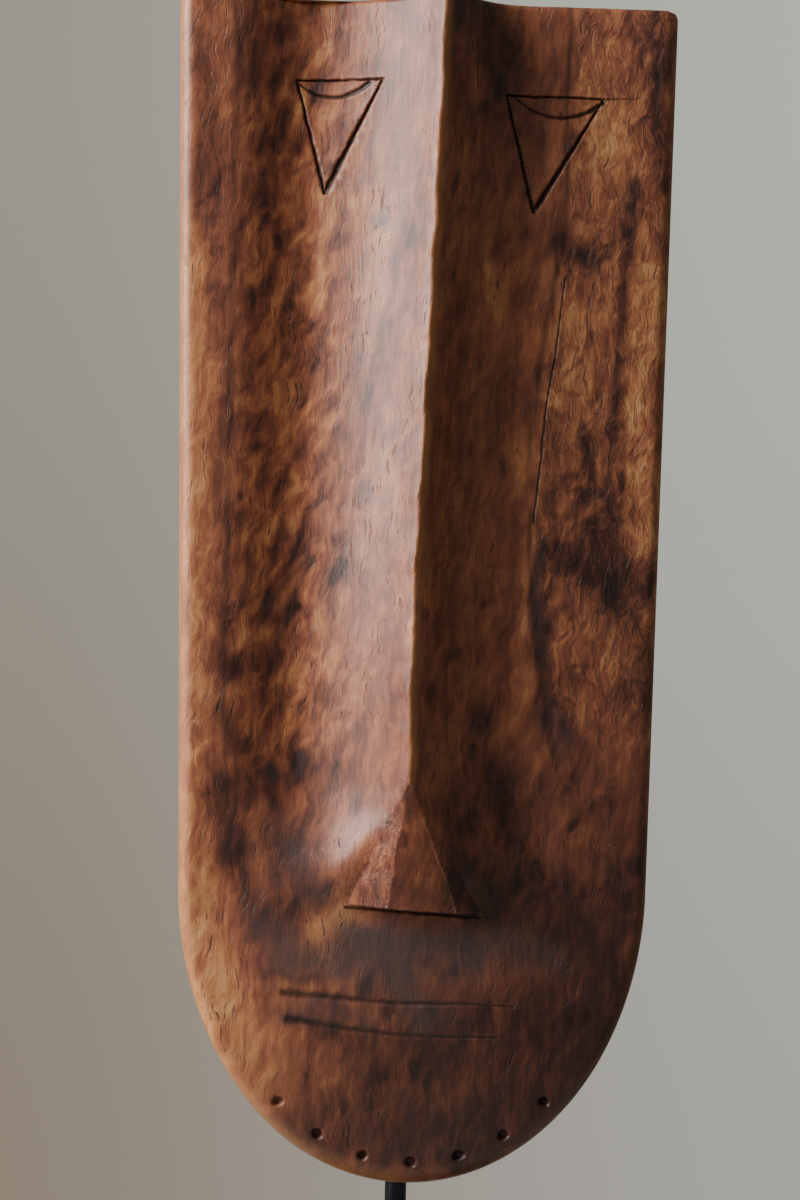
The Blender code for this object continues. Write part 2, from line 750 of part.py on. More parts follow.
# Clamp screw: its own axis runs along its local Z, out of the head to the rear
def build_knurled_head():
    bm = bmesh.new()
    bmesh.ops.create_cone(
        bm,
        cap_ends=True,
        segments=2 * CLAMP_KNURLS,
        radius1=CLAMP_HEAD_RADIUS,
        radius2=CLAMP_HEAD_RADIUS,
        depth=CLAMP_HEAD_LENGTH,
        matrix=Matrix.Translation((0.0, 0.0, CLAMP_HEAD_START + CLAMP_HEAD_LENGTH / 2)),
    )
    groove_share = 1.0 - CLAMP_KNURL_DEPTH / CLAMP_HEAD_RADIUS
    for vertex in bm.verts:
        turn = math.atan2(vertex.co.y, vertex.co.x) * CLAMP_KNURLS / math.pi
        if round(turn) % 2:
            vertex.co.x *= groove_share
            vertex.co.y *= groove_share
    return mesh_from_bmesh("clamp_screw", bm)


CLAMP_HEAD_START = SOCKET_HUB_RADIUS + CLAMP_HEAD_STANDOFF
clamp_screw = finish_object("clamp_screw", build_knurled_head(), BRASS, (0.0, POST_Y, CLAMP_Z))
clamp_screw.rotation_euler = (-math.pi / 2, 0.0, 0.0)
cut(
    clamp_screw,
    cylinder_cutter(
        "clamp_shank",
        CLAMP_SHANK_RADIUS,
        (0.0, POST_Y + SOCKET_BORE_RADIUS, CLAMP_Z),
        (0.0, POST_Y + CLAMP_HEAD_START + CLAMP_HEAD_LENGTH / 2, CLAMP_Z),
        SMALL_STEPS,
    ),
    "UNION",
)


# Post

post_length = POST_TOP - POST_BOTTOM
post_profile = [
    (0.0, post_length),
    (POST_RADIUS - POST_CHAMFER, post_length),
    (POST_RADIUS, post_length - POST_CHAMFER),
    (POST_RADIUS, POST_CHAMFER),
    (POST_RADIUS - POST_CHAMFER, 0.0),
    (0.0, 0.0),
]
turned_object("post", post_profile, BLACK_STEEL, (0.0, 0.0, POST_BOTTOM - SOCKET_TOP), post_axis)


# Hanger

sleeve_length = SLEEVE_TOP - SLEEVE_BOTTOM
sleeve_size = (2 * SLEEVE_HALF_WIDTH, 2 * SLEEVE_HALF_WIDTH, sleeve_length)
sleeve_mesh = block_mesh("sleeve", sleeve_size, SLEEVE_CORNER, segments=2)
sleeve_middle = (SLEEVE_TOP + SLEEVE_BOTTOM) / 2
sleeve = finish_object("sleeve", sleeve_mesh, BLACK_STEEL, on_carrier(0.0, POST_Y, sleeve_middle), carrier)
cut(
    sleeve,
    cylinder_cutter(
        "sleeve_bore",
        SOCKET_BORE_RADIUS,
        on_carrier(0.0, POST_Y, SLEEVE_BOTTOM - CUTTER_OVERSHOOT),
        on_carrier(0.0, POST_Y, SLEEVE_TOP + CUTTER_OVERSHOOT),
        parent=carrier,
    ),
)

plug_spigot_radius = SOCKET_BORE_RADIUS - FIT_GAP
plug_profile = [
    (0.0, PLUG_HEAD_HEIGHT),
    (SLEEVE_HALF_WIDTH - PLUG_EDGE, PLUG_HEAD_HEIGHT),
    (SLEEVE_HALF_WIDTH, PLUG_HEAD_HEIGHT - PLUG_EDGE),
    (SLEEVE_HALF_WIDTH, FIT_GAP),
    (plug_spigot_radius, FIT_GAP),
    (plug_spigot_radius, -PLUG_SPIGOT_LENGTH),
    (0.0, -PLUG_SPIGOT_LENGTH),
]
turned_object("sleeve_plug", plug_profile, BRASS, on_carrier(0.0, POST_Y, SLEEVE_TOP), carrier)

screw_profile = []
for step in range(SCREW_HEAD_STEPS):
    angle = math.pi / 2 * step / SCREW_HEAD_STEPS
    screw_profile.append((SCREW_HEAD_RADIUS * math.sin(angle), SCREW_HEAD_HEIGHT * math.cos(angle)))
screw_profile += [
    (SCREW_HEAD_RADIUS, 0.0),
    (SCREW_RADIUS, 0.0),
    (SCREW_RADIUS, SCREW_POINT - SCREW_LENGTH),
    (0.0, -SCREW_LENGTH),
]
screw_seat_y = STRAP_BACK_Y + FIT_GAP
hole_end_y = screw_seat_y - SCREW_LENGTH - FIT_GAP

for level, strap_height in STRAP_HEIGHTS.items():
    strap_z = MASK_BOTTOM + strap_height
    strap_half_length = half_width(strap_height) - SIDE_TAPER - STRAP_EDGE_MARGIN
    strap_mesh = block_mesh(
        level + "_strap",
        (2 * strap_half_length, STRAP_THICKNESS, STRAP_WIDTH),
        STRAP_END_RADIUS,
        corner_axis=1,
    )
    strap_middle_y = (STRAP_BACK_Y + STRAP_FRONT_Y) / 2
    strap = finish_object(
        level + "_strap", strap_mesh, BLACK_STEEL, on_carrier(0.0, strap_middle_y, strap_z), carrier
    )
    for side, side_word in ((-1, "left"), (1, "right")):
        screw_x = side * rim_screw_x(strap_height)
        corner = f"{level}_{side_word}"
        hole = cylinder_cutter(
            corner + "_screw_hole",
            SCREW_HOLE_RADIUS,
            on_carrier(screw_x, hole_end_y, strap_z),
            on_carrier(screw_x, STRAP_BACK_Y + CUTTER_OVERSHOOT, strap_z),
            SMALL_STEPS,
            parent=carrier,
        )
        pad_half_width = RIM_WIDTH / 2 - STRAP_EDGE_MARGIN
        pad_mesh = block_mesh(corner + "_pad", (2 * pad_half_width, PAD_THICKNESS, STRAP_WIDTH))
        pad_place = on_carrier(screw_x, PAD_FRONT_Y + PAD_THICKNESS / 2, strap_z)
        pad = finish_object(corner + "_pad", pad_mesh, FELT, pad_place, carrier)
        for piece in (strap, pad, mask):
            cut(piece, hole)
        screw = turned_object(
            corner + "_screw",
            screw_profile,
            BRASS,
            on_carrier(screw_x, screw_seat_y, strap_z),
            carrier,
            steps=SMALL_STEPS,
        )
        screw.rotation_euler = (-math.pi / 2, 0.0, 0.0)
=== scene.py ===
import json
import math

import bmesh
import bpy
from mathutils import Matrix, Vector, noise


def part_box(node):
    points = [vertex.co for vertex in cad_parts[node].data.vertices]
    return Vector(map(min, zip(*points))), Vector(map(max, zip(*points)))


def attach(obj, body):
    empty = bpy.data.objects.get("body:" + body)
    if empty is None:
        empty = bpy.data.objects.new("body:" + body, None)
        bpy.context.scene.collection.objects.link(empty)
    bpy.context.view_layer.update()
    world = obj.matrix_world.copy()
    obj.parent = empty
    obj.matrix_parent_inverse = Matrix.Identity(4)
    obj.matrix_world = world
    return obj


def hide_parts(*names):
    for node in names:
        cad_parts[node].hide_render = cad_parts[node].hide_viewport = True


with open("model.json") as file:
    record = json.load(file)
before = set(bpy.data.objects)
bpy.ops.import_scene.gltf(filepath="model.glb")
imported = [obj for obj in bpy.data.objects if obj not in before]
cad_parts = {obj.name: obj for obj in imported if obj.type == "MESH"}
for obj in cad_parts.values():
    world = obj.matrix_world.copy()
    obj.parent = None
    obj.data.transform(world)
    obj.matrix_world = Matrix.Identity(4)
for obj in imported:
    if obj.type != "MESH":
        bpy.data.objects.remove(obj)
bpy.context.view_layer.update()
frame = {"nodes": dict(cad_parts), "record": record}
print("frame loaded")

maskLow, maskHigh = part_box("mask")
postLow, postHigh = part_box("post")


# small helpers shared by the pieces

def mix(start, end, share):
    return start + (end - start) * share


def clamp(value):
    return max(0.0, min(1.0, value))


def ease(value):  # smooth step from 0 to 1
    share = clamp(value)
    return share * share * (3.0 - 2.0 * share)


def nearOn(start, along, x, z):  # share of the way along a line, and the distance from it
    share = clamp(((x - start.x) * along.x + (z - start.y) * along.y) / max(along.length_squared, 1e-12))
    return share, math.hypot(x - start.x - along.x * share, z - start.y - along.y * share)


def tone(red, green, blue):  # 0-255 display values to a linear colour
    channels = []
    for value in (red, green, blue):
        value /= 255.0
        channels.append(value / 12.92 if value <= 0.04045 else ((value + 0.055) / 1.055) ** 2.4)
    return (*channels, 1.0)


# shader bench: sockets with arithmetic

class Wire:
    def __init__(self, bench, socket):
        self.bench = bench
        self.socket = socket

    def maths(self, operation, first, second):
        return self.bench.add("ShaderNodeMath", {"operation": operation}, {0: first, 1: second})

    def __add__(self, other):
        return self.maths("ADD", self, other)

    def __sub__(self, other):
        return self.maths("SUBTRACT", self, other)

    def __rsub__(self, other):
        return self.maths("SUBTRACT", other, self)

    def __mul__(self, other):
        return self.maths("MULTIPLY", self, other)

    def __truediv__(self, other):
        return self.maths("DIVIDE", self, other)

    __radd__ = __add__
    __rmul__ = __mul__


class Bench:
    def __init__(self, name):
        self.material = bpy.data.materials.new(name)
        self.material.use_nodes = True
        self.tree = self.material.node_tree
        self.shader = self.tree.nodes["Principled BSDF"]
        self.coords = self.add("ShaderNodeTexCoord", {}, {}, "Object")

    def add(self, kind, settings, sockets, output=0):
        node = self.tree.nodes.new(kind)
        for name, value in settings.items():
            if name == "stops":
                self.setStops(node.color_ramp, value)
            else:
                setattr(node, name, value)
        for name, value in sockets.items():
            if isinstance(value, Wire):
                self.tree.links.new(value.socket, node.inputs[name])
            else:
                node.inputs[name].default_value = value
        return Wire(self, node.outputs[output])

    def setStops(self, ramp, stops):
        while len(ramp.elements) < len(stops):
            ramp.elements.new(0.5)
        for element, (position, colour) in zip(ramp.elements, stops):
            element.position = position
            element.color = colour

    def lay(self, vector, lengths, lean=0.0):  # stretch a pattern by lengths after leaning it over
        sockets = {"Vector": vector, "Scale": lengths, "Rotation": (0.0, lean, 0.0)}
        return self.add("ShaderNodeMapping", {"vector_type": "TEXTURE"}, sockets)

    def vector(self, operation, *values):
        sockets = dict(enumerate(values))
        return self.add("ShaderNodeVectorMath", {"operation": operation}, sockets)

    def absolute(self, value):
        return self.add("ShaderNodeMath", {"operation": "ABSOLUTE"}, {0: value})

    def cloud(self, vector, scale, detail=3.0, roughness=0.55, distortion=0.0, output="Fac"):
        sockets = {"Vector": vector, "Scale": scale, "Detail": detail}
        sockets.update({"Roughness": roughness, "Distortion": distortion})
        return self.add("ShaderNodeTexNoise", {}, sockets, output)

    def cells(self, vector, scale, output="Distance"):
        return self.add("ShaderNodeTexVoronoi", {}, {"Vector": vector, "Scale": scale}, output)

    def step(self, value, low, high, start=0.0, end=1.0):  # smooth ramp between two levels
        sockets = {"Value": value, "From Min": low, "From Max": high, "To Min": start, "To Max": end}
        return self.add("ShaderNodeMapRange", {"interpolation_type": "SMOOTHSTEP"}, sockets)

    def ramp(self, value, stops):  # stops are (position, red, green, blue)
        stops = [(position, tone(*tint)) for position, *tint in stops]
        return self.add("ShaderNodeValToRGB", {"stops": stops}, {"Fac": value}, "Color")

    def blend(self, share, first, second):
        node = self.tree.nodes.new("ShaderNodeMix")
        node.data_type = "RGBA"
        for socket, value in ((node.inputs[0], share), (node.inputs[6], first), (node.inputs[7], second)):
            if isinstance(value, Wire):
                self.tree.links.new(value.socket, socket)
            else:
                socket.default_value = value
        return Wire(self, node.outputs[2])

    def tint(self, colour, *layers):  # lay (share, tint) pairs over a colour
        for share, tint in layers:
            colour = self.blend(share, colour, tone(*tint))
        return colour

    def attribute(self, name):
        return self.add("ShaderNodeAttribute", {"attribute_name": name}, {}, "Fac")

    def axis(self, vector, name):
        return self.add("ShaderNodeSeparateXYZ", {}, {"Vector": vector}, name)

    def bump(self, height, strength, distance, normal=None):
        sockets = {"Height": height, "Strength": strength, "Distance": distance}
        if normal is not None:
            sockets["Normal"] = normal
        return self.add("ShaderNodeBump", {}, sockets, "Normal")

    def skin(self, colour, roughness, normal, values):
        return self.finish({"Base Color": colour, "Roughness": roughness, "Normal": normal}, values)

    def finish(self, links, values):
        for name, wire in links.items():
            self.tree.links.new(wire.socket, self.shader.inputs[name])
        for name, value in values.items():
            self.shader.inputs[name].default_value = value
        return self.material


# shared piece helpers

def pieceFromBmesh(bm, name, node, body, slot, sharpAngle=40.0):  # slot is the record's finish
    bmesh.ops.recalc_face_normals(bm, faces=bm.faces)
    if bm.calc_volume(signed=True) < 0.0:  # a hollow form can come out inside out
        bmesh.ops.reverse_faces(bm, faces=bm.faces)
    mesh = bpy.data.meshes.new(name)
    bm.to_mesh(mesh)
    bm.free()
    piece = bpy.data.objects.new(name, mesh)
    bpy.context.scene.collection.objects.link(piece)
    mesh.materials.append(finishes[slot])
    mesh.shade_smooth()
    mesh.set_sharp_from_angle(angle=math.radians(sharpAngle))
    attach(piece, body)
    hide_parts(node)
    return piece


# mask: the carved relief, measured forward of the front edge plane, in metres

maskForm = {
    "height": maskHigh.z - maskLow.z,
    "topHalfWidth": maskHigh.x,
    "chinHalfWidth": 0.0997,
    "chinHeight": 0.126,
    "cornerRadius": 0.0035,
    "wallDepth": 0.050,
    "woodThickness": 0.012,
    "rimWidth": 0.014,
    "sideRound": 0.006,
    "topRound": 0.002,
    "sideTaper": 0.003,
    "hollowFillet": 0.022,
    "ridgeRise": 0.034,
    "ridgeLean": 0.0345,
    "ridgeLeanStart": 0.231,
    "ridgeFootX": -0.0051,
    "arrisSoftness": 0.0014,
    "arrisWaver": 0.0010,
    "arrisWaverReach": 0.0045,
    "leftHollow": 0.012,
    "rightHollow": 0.008,
    "hollowBlend": 0.015,
    "leftFlankReach": 0.080,
    "leftFlankCurve": 2.6,
    "rightFlankCurve": 2.2,
    "hollowRamp": 0.036,
    "flankEndZ": 0.110,
    "flankFullZ": 0.166,
    "flankSideFullZ": 0.140,
    "flankSide": 0.030,
    "chinDome": 0.006,
    "chinDomeZ": 0.076,
    "chinDomeCurve": 1.5,
    "hollowCore": 0.028,
    "leftCreaseReach": 0.0541,
    "rightCreaseReach": 0.0534,
    "creaseTurnZ": 0.206,
    "creaseFoot": 0.100,
    "creasePower": 2.5,
    "rightCreaseX": 0.0454,
    "rightCreaseZ": 0.291,
    "rightCreaseBow": 1.05,
    "rightCreaseLimit": 0.0584,
    "channelCover": 0.010,
    "channelSpread": 0.028,
    "channelFade": 0.060,
}
noseForm = {
    "baseZ": 0.117,
    "apexZ": 0.173,
    "recede": 0.010,
    "leftFoot": -0.0296,
    "leftArris": -0.0136,
    "rightArris": 0.0164,
    "rightFoot": 0.0264,
    "ledge": 0.0009,
    "tilt": 0.06,
    "waver": 0.0016,
    "crown": 0.0012,  # the front facet is slightly domed
}
cutLines = {  # gouged lines: eye corners are (x, drop below the top edge)
    "leftEye": ((-0.0562, 0.034), (-0.0205, 0.034), (-0.0436, 0.0815)),
    "rightEye": ((0.0323, 0.0386), (0.0741, 0.039), (0.0449, 0.0877)),
    "eyeDepth": 0.0015,
    "eyeHalfWidth": 0.0008,
    "leftLid": (0.02, 0.85, 0.0060),  # start and end along the top line, and sag
    "rightLid": (0.10, 1.0, 0.0076),
    "lidDepth": 0.0010,
    "scratchLength": 0.015,
    "upperLip": (
        (-0.0548, 0.0815), (-0.0316, 0.0797), (-0.0056, 0.0777), (0.0204, 0.0777), (0.0425, 0.0764),
    ),
    "lowerLip": (
        (-0.0526, 0.0709), (-0.0336, 0.0677), (-0.0096, 0.0647), (0.0124, 0.0637), (0.0363, 0.0634),
    ),
    "lipDepth": 0.0006,
    "lipHalfWidth": 0.0010,
    "crack": ((0.0591, 0.386), (0.0554, 0.353), (0.0519, 0.331), (0.0499, 0.307), (0.0474, 0.281)),
    "crackDepth": 0.0005,
    "crackHalfWidth": 0.0004,
    "reach": 0.004,  # how far from a line its cut and burr are looked for
    "sway": 0.0003,
    "burr": 0.00012,
}
pitRow = {
    "count": 7,
    "radius": 0.0032,
    "depth": 0.0024,
    "inset": 0.010,
    "angle": math.radians(13.0),
    "ragged": 0.0009,
    "top": 0.060,  # no pit is above this height
}
toolMarks = {"broad": 0.0007, "close": 0.00022, "facets": 0.0009, "dips": 0.0006}
wearAndPaintedLightForm = {  # where age shows, and where painted shade and highlight go, in metres
    "arrisShift": 0.0012,
    "arrisWidth": 0.0019,
    "arrisFootZ": 0.165,
    "rimWidth": 0.0035,
    "shadeLineWaver": 0.0009,
    "shadeLineWidth": 0.0010,
    "shadeLineFootZ": 0.14,
    "figureX": -0.022,  # the left cheek's figured wood starts here
    "figureSpread": 0.024,
    "roughFootZ": 0.16,
    "roughRimX": -0.080,
}
maskGrid = {
    "columnsPerSide": 60,
    "rows": 280,
    "hollowRings": 25,
    "refineReach": (0.0034, 0.0019),
    "sideRings": ((0.1, 0.12), (0.25, 0.3), (0.4, 0.5), (0.6, 0.7), (0.8, 0.9), (1.0, 0.985), (1.4, 1.0)),
}
# kept for each point, and read by the finish
maskMarks = ("incised", "pitted", "worn", "creased", "rough", "figured", "face")


def halfWidth(z):
    form = maskForm
    share = clamp((z - form["chinHeight"]) / (form["height"] - form["chinHeight"]))
    width = mix(form["chinHalfWidth"], form["topHalfWidth"], share)
    underTop = form["height"] - z
    radius = form["cornerRadius"]
    if underTop < radius:
        width -= radius - math.sqrt(max(0.0, radius ** 2 - (radius - underTop) ** 2))
    return width


def edgeDistance(x, z):
    form = maskForm
    if z >= form["chinHeight"]:
        return halfWidth(z) - abs(x)
    radial = math.hypot(x / form["chinHalfWidth"], (form["chinHeight"] - z) / form["chinHeight"])
    return (1.0 - radial) * form["chinHalfWidth"]


def ridgeX(z):
    lean = maskForm["ridgeLean"] * max(0.0, z - maskForm["ridgeLeanStart"])
    return (maskForm["ridgeFootX"] + lean) * clamp(z / noseForm["baseZ"])


def arrisX(x, z):  # the ridge's sharp line, as unsteady as the knife that cut it
    waver = noise.noise(Vector((0.3, 0.0, z * 55.0))) + 0.45 * noise.noise(Vector((4.3, 0.0, z * 160.0)))
    near = math.exp(-(((x - ridgeX(z)) / maskForm["arrisWaverReach"]) ** 2))
    return ridgeX(z) + maskForm["arrisWaver"] * waver * near * clamp((maskForm["height"] - z) / 0.01)


def rightCrease(z):
    form = maskForm
    bow = form["rightCreaseX"] + form["rightCreaseBow"] * (z - form["rightCreaseZ"]) ** 2
    return min(bow, form["rightCreaseLimit"]) if z > form["rightCreaseZ"] else bow


def creaseInset(x, z):  # distance inside the crease round a cheek hollow
    form = maskForm
    right = x > ridgeX(z)
    reach = form["rightCreaseReach"] if right else form["leftCreaseReach"]
    sideways = max(0.0, abs(x) - form["hollowCore"]) / reach
    downward = max(0.0, form["creaseTurnZ"] - z) / form["creaseFoot"]
    power = form["creasePower"]
    inset = (1.0 - (sideways ** power + downward ** power) ** (1.0 / power)) * reach
    return min(inset, rightCrease(z) - x) if right else inset


def chinDome(x, z):
    across = x / maskForm["chinHalfWidth"]
    along = (z - maskForm["chinDomeZ"]) / (maskForm["chinDomeZ"] + pitRow["inset"])
    return maskForm["chinDome"] * max(0.0, 1.0 - across ** 2 - along ** 2) ** maskForm["chinDomeCurve"]


def hollowDepth(x, z):
    side = math.tanh((x - ridgeX(z)) / maskForm["hollowBlend"])
    depth = mix(maskForm["leftHollow"], maskForm["rightHollow"], (side + 1.0) / 2)
    return depth * ease(creaseInset(x, z) / maskForm["hollowRamp"])


def flankRise(x, z):
    form = maskForm
    arris = arrisX(x, z)
    offset = x - arris
    soft = math.hypot(offset, form["arrisSoftness"]) - form["arrisSoftness"] * 0.5
    fullZ = mix(form["flankFullZ"], form["flankSideFullZ"], ease(abs(offset) / form["flankSide"]))
    rise = form["ridgeRise"] * ease((z - form["flankEndZ"]) / (fullZ - form["flankEndZ"]))
    if offset < 0.0:
        return rise * max(0.0, 1.0 - soft / form["leftFlankReach"]) ** form["leftFlankCurve"]
    reach = rightCrease(z) - arris
    return rise * max(0.0, 1.0 - soft / reach) ** form["rightFlankCurve"]


def flutedFace(x, z):
    return chinDome(x, z) - hollowDepth(x, z) + flankRise(x, z)


def noseBaseZ(x):
    return noseForm["baseZ"] - noseForm["tilt"] * x


def noseFace(x, z):
    form = noseForm
    share = clamp((form["apexZ"] - z) / (form["apexZ"] - form["baseZ"]))
    if share == 0.0:
        return flutedFace(x, z)
    ridge = ridgeX(z)
    x += form["waver"] * noise.noise(Vector((x * 60.0, 8.0, z * 110.0))) * share
    leftFoot = mix(ridge, form["leftFoot"], share)
    leftArris = mix(ridge, form["leftArris"], share)
    rightArris = mix(ridge, form["rightArris"], share)
    rightFoot = mix(ridge, form["rightFoot"], share)
    front = flutedFace(ridge, form["apexZ"]) - form["recede"] * share
    if x <= leftFoot or x >= rightFoot:
        return flutedFace(x, z)
    if x < leftArris:
        return mix(flutedFace(leftFoot, z), front, (x - leftFoot) / (leftArris - leftFoot))
    if x > rightArris:
        return mix(front, flutedFace(rightFoot, z), (x - rightArris) / (rightFoot - rightArris))
    crown = (x - leftArris) / (rightArris - leftArris)
    return front + form["crown"] * share * (1.0 - (2.0 * crown - 0.7) ** 2)


def faceHeight(x, z):
    above = ease((z - noseBaseZ(x)) / noseForm["ledge"] + 0.5)
    if above == 0.0:
        return flutedFace(x, z)
    if above == 1.0:
        return noseFace(x, z)
    return mix(flutedFace(x, z), noseFace(x, z), above)


def roundedDrop(distance, radius):
    short = clamp(1.0 - distance / radius)
    return radius * (1.0 - math.sqrt(1.0 - short ** 2))


# gouged lines: (points, depth, half widths at start and end, darkness at start and end); the darkness is
# painted shade in the line
def eyeStrokes(eye, lidShape):
    height = maskForm["height"]
    first, second, apex = [Vector((x, height - drop)) for x, drop in eye]
    depth = cutLines["eyeDepth"]
    thin = cutLines["eyeHalfWidth"]
    lidStart, lidEnd, sag = lidShape
    lid = []
    for step in range(9):
        point = first.lerp(second, mix(lidStart, lidEnd, step / 8))
        point.y -= 0.0012 + sag * math.sin(math.pi * step / 8) ** 0.8
        lid.append(point)
    return [
        ([first, second], depth * 0.75, (thin * 0.85, thin * 0.8), (0.95, 0.9)),
        ([first, apex], depth, (thin * 0.8, thin * 1.3), (0.95, 1.0)),
        ([second, apex], depth * 1.1, (thin * 0.7, thin * 1.8), (0.9, 1.0)),
        (lid, cutLines["lidDepth"], (thin * 0.6, thin * 1.7), (0.75, 1.0)),
    ]


def allStrokes():
    lines = eyeStrokes(cutLines["leftEye"], cutLines["leftLid"])
    lines += eyeStrokes(cutLines["rightEye"], cutLines["rightLid"])
    corner = Vector((cutLines["rightEye"][1][0], maskForm["height"] - cutLines["rightEye"][1][1]))
    scratchEnd = corner + Vector((cutLines["scratchLength"], 0.0005))
    lines.append(([corner, scratchEnd], 0.0003, (0.0006, 0.0003), (0.8, 0.4)))
    # painted shadow: a dark line just under the nose ledge, where the ledge casts its shadow
    underNoseXs = (noseForm["leftFoot"], -0.004, noseForm["rightFoot"] + 0.001)
    underNose = [Vector((x, noseBaseZ(x) - 0.0011)) for x in underNoseXs]
    lines.append((underNose, 0.0007, (0.0006, 0.0012), (0.75, 1.0)))
    width = cutLines["lipHalfWidth"]
    for name in ("upperLip", "lowerLip"):
        points = [Vector(point) for point in cutLines[name]]
        lines.append((points, cutLines["lipDepth"], (width * 1.9, width * 0.6), (0.70, 0.30)))
    points = [Vector(point) for point in cutLines["crack"]]
    width = cutLines["crackHalfWidth"]
    lines.append((points, cutLines["crackDepth"], (width, width * 1.4), (0.9, 0.9)))
    second = [point + Vector((0.0022, -0.004)) for point in points[1:4]]
    lines.append((second, cutLines["crackDepth"] * 0.7, (width * 0.7, width * 0.7), (0.6, 0.5)))
    return lines


def boxRound(points, reach):  # left, right, low and high sides of a box round some points
    xs = [point[0] for point in points]
    zs = [point[1] for point in points]
    return min(xs) - reach, max(xs) + reach, min(zs) - reach, max(zs) + reach


strokes = allStrokes()
strokeBoxes = [boxRound(stroke[0], cutLines["reach"]) for stroke in strokes]


def strokeAt(x, z):  # nearest line: distance, depth, half width and darkness there; the darkness is painted shade in the line
    best = (1.0, 0.0, 1.0, 0.0)
    for stroke, (left, right, low, high) in zip(strokes, strokeBoxes):
        if not (left < x < right and low < z < high):
            continue
        points, depth, widths, darkness = stroke
        for index in range(len(points) - 1):
            start, end = points[index], points[index + 1]
            share, gap = nearOn(start, end - start, x, z)
            if gap < best[0]:
                travel = (index + share) / (len(points) - 1)
                best = (gap, depth, mix(*widths, travel), mix(*darkness, travel))
    return best


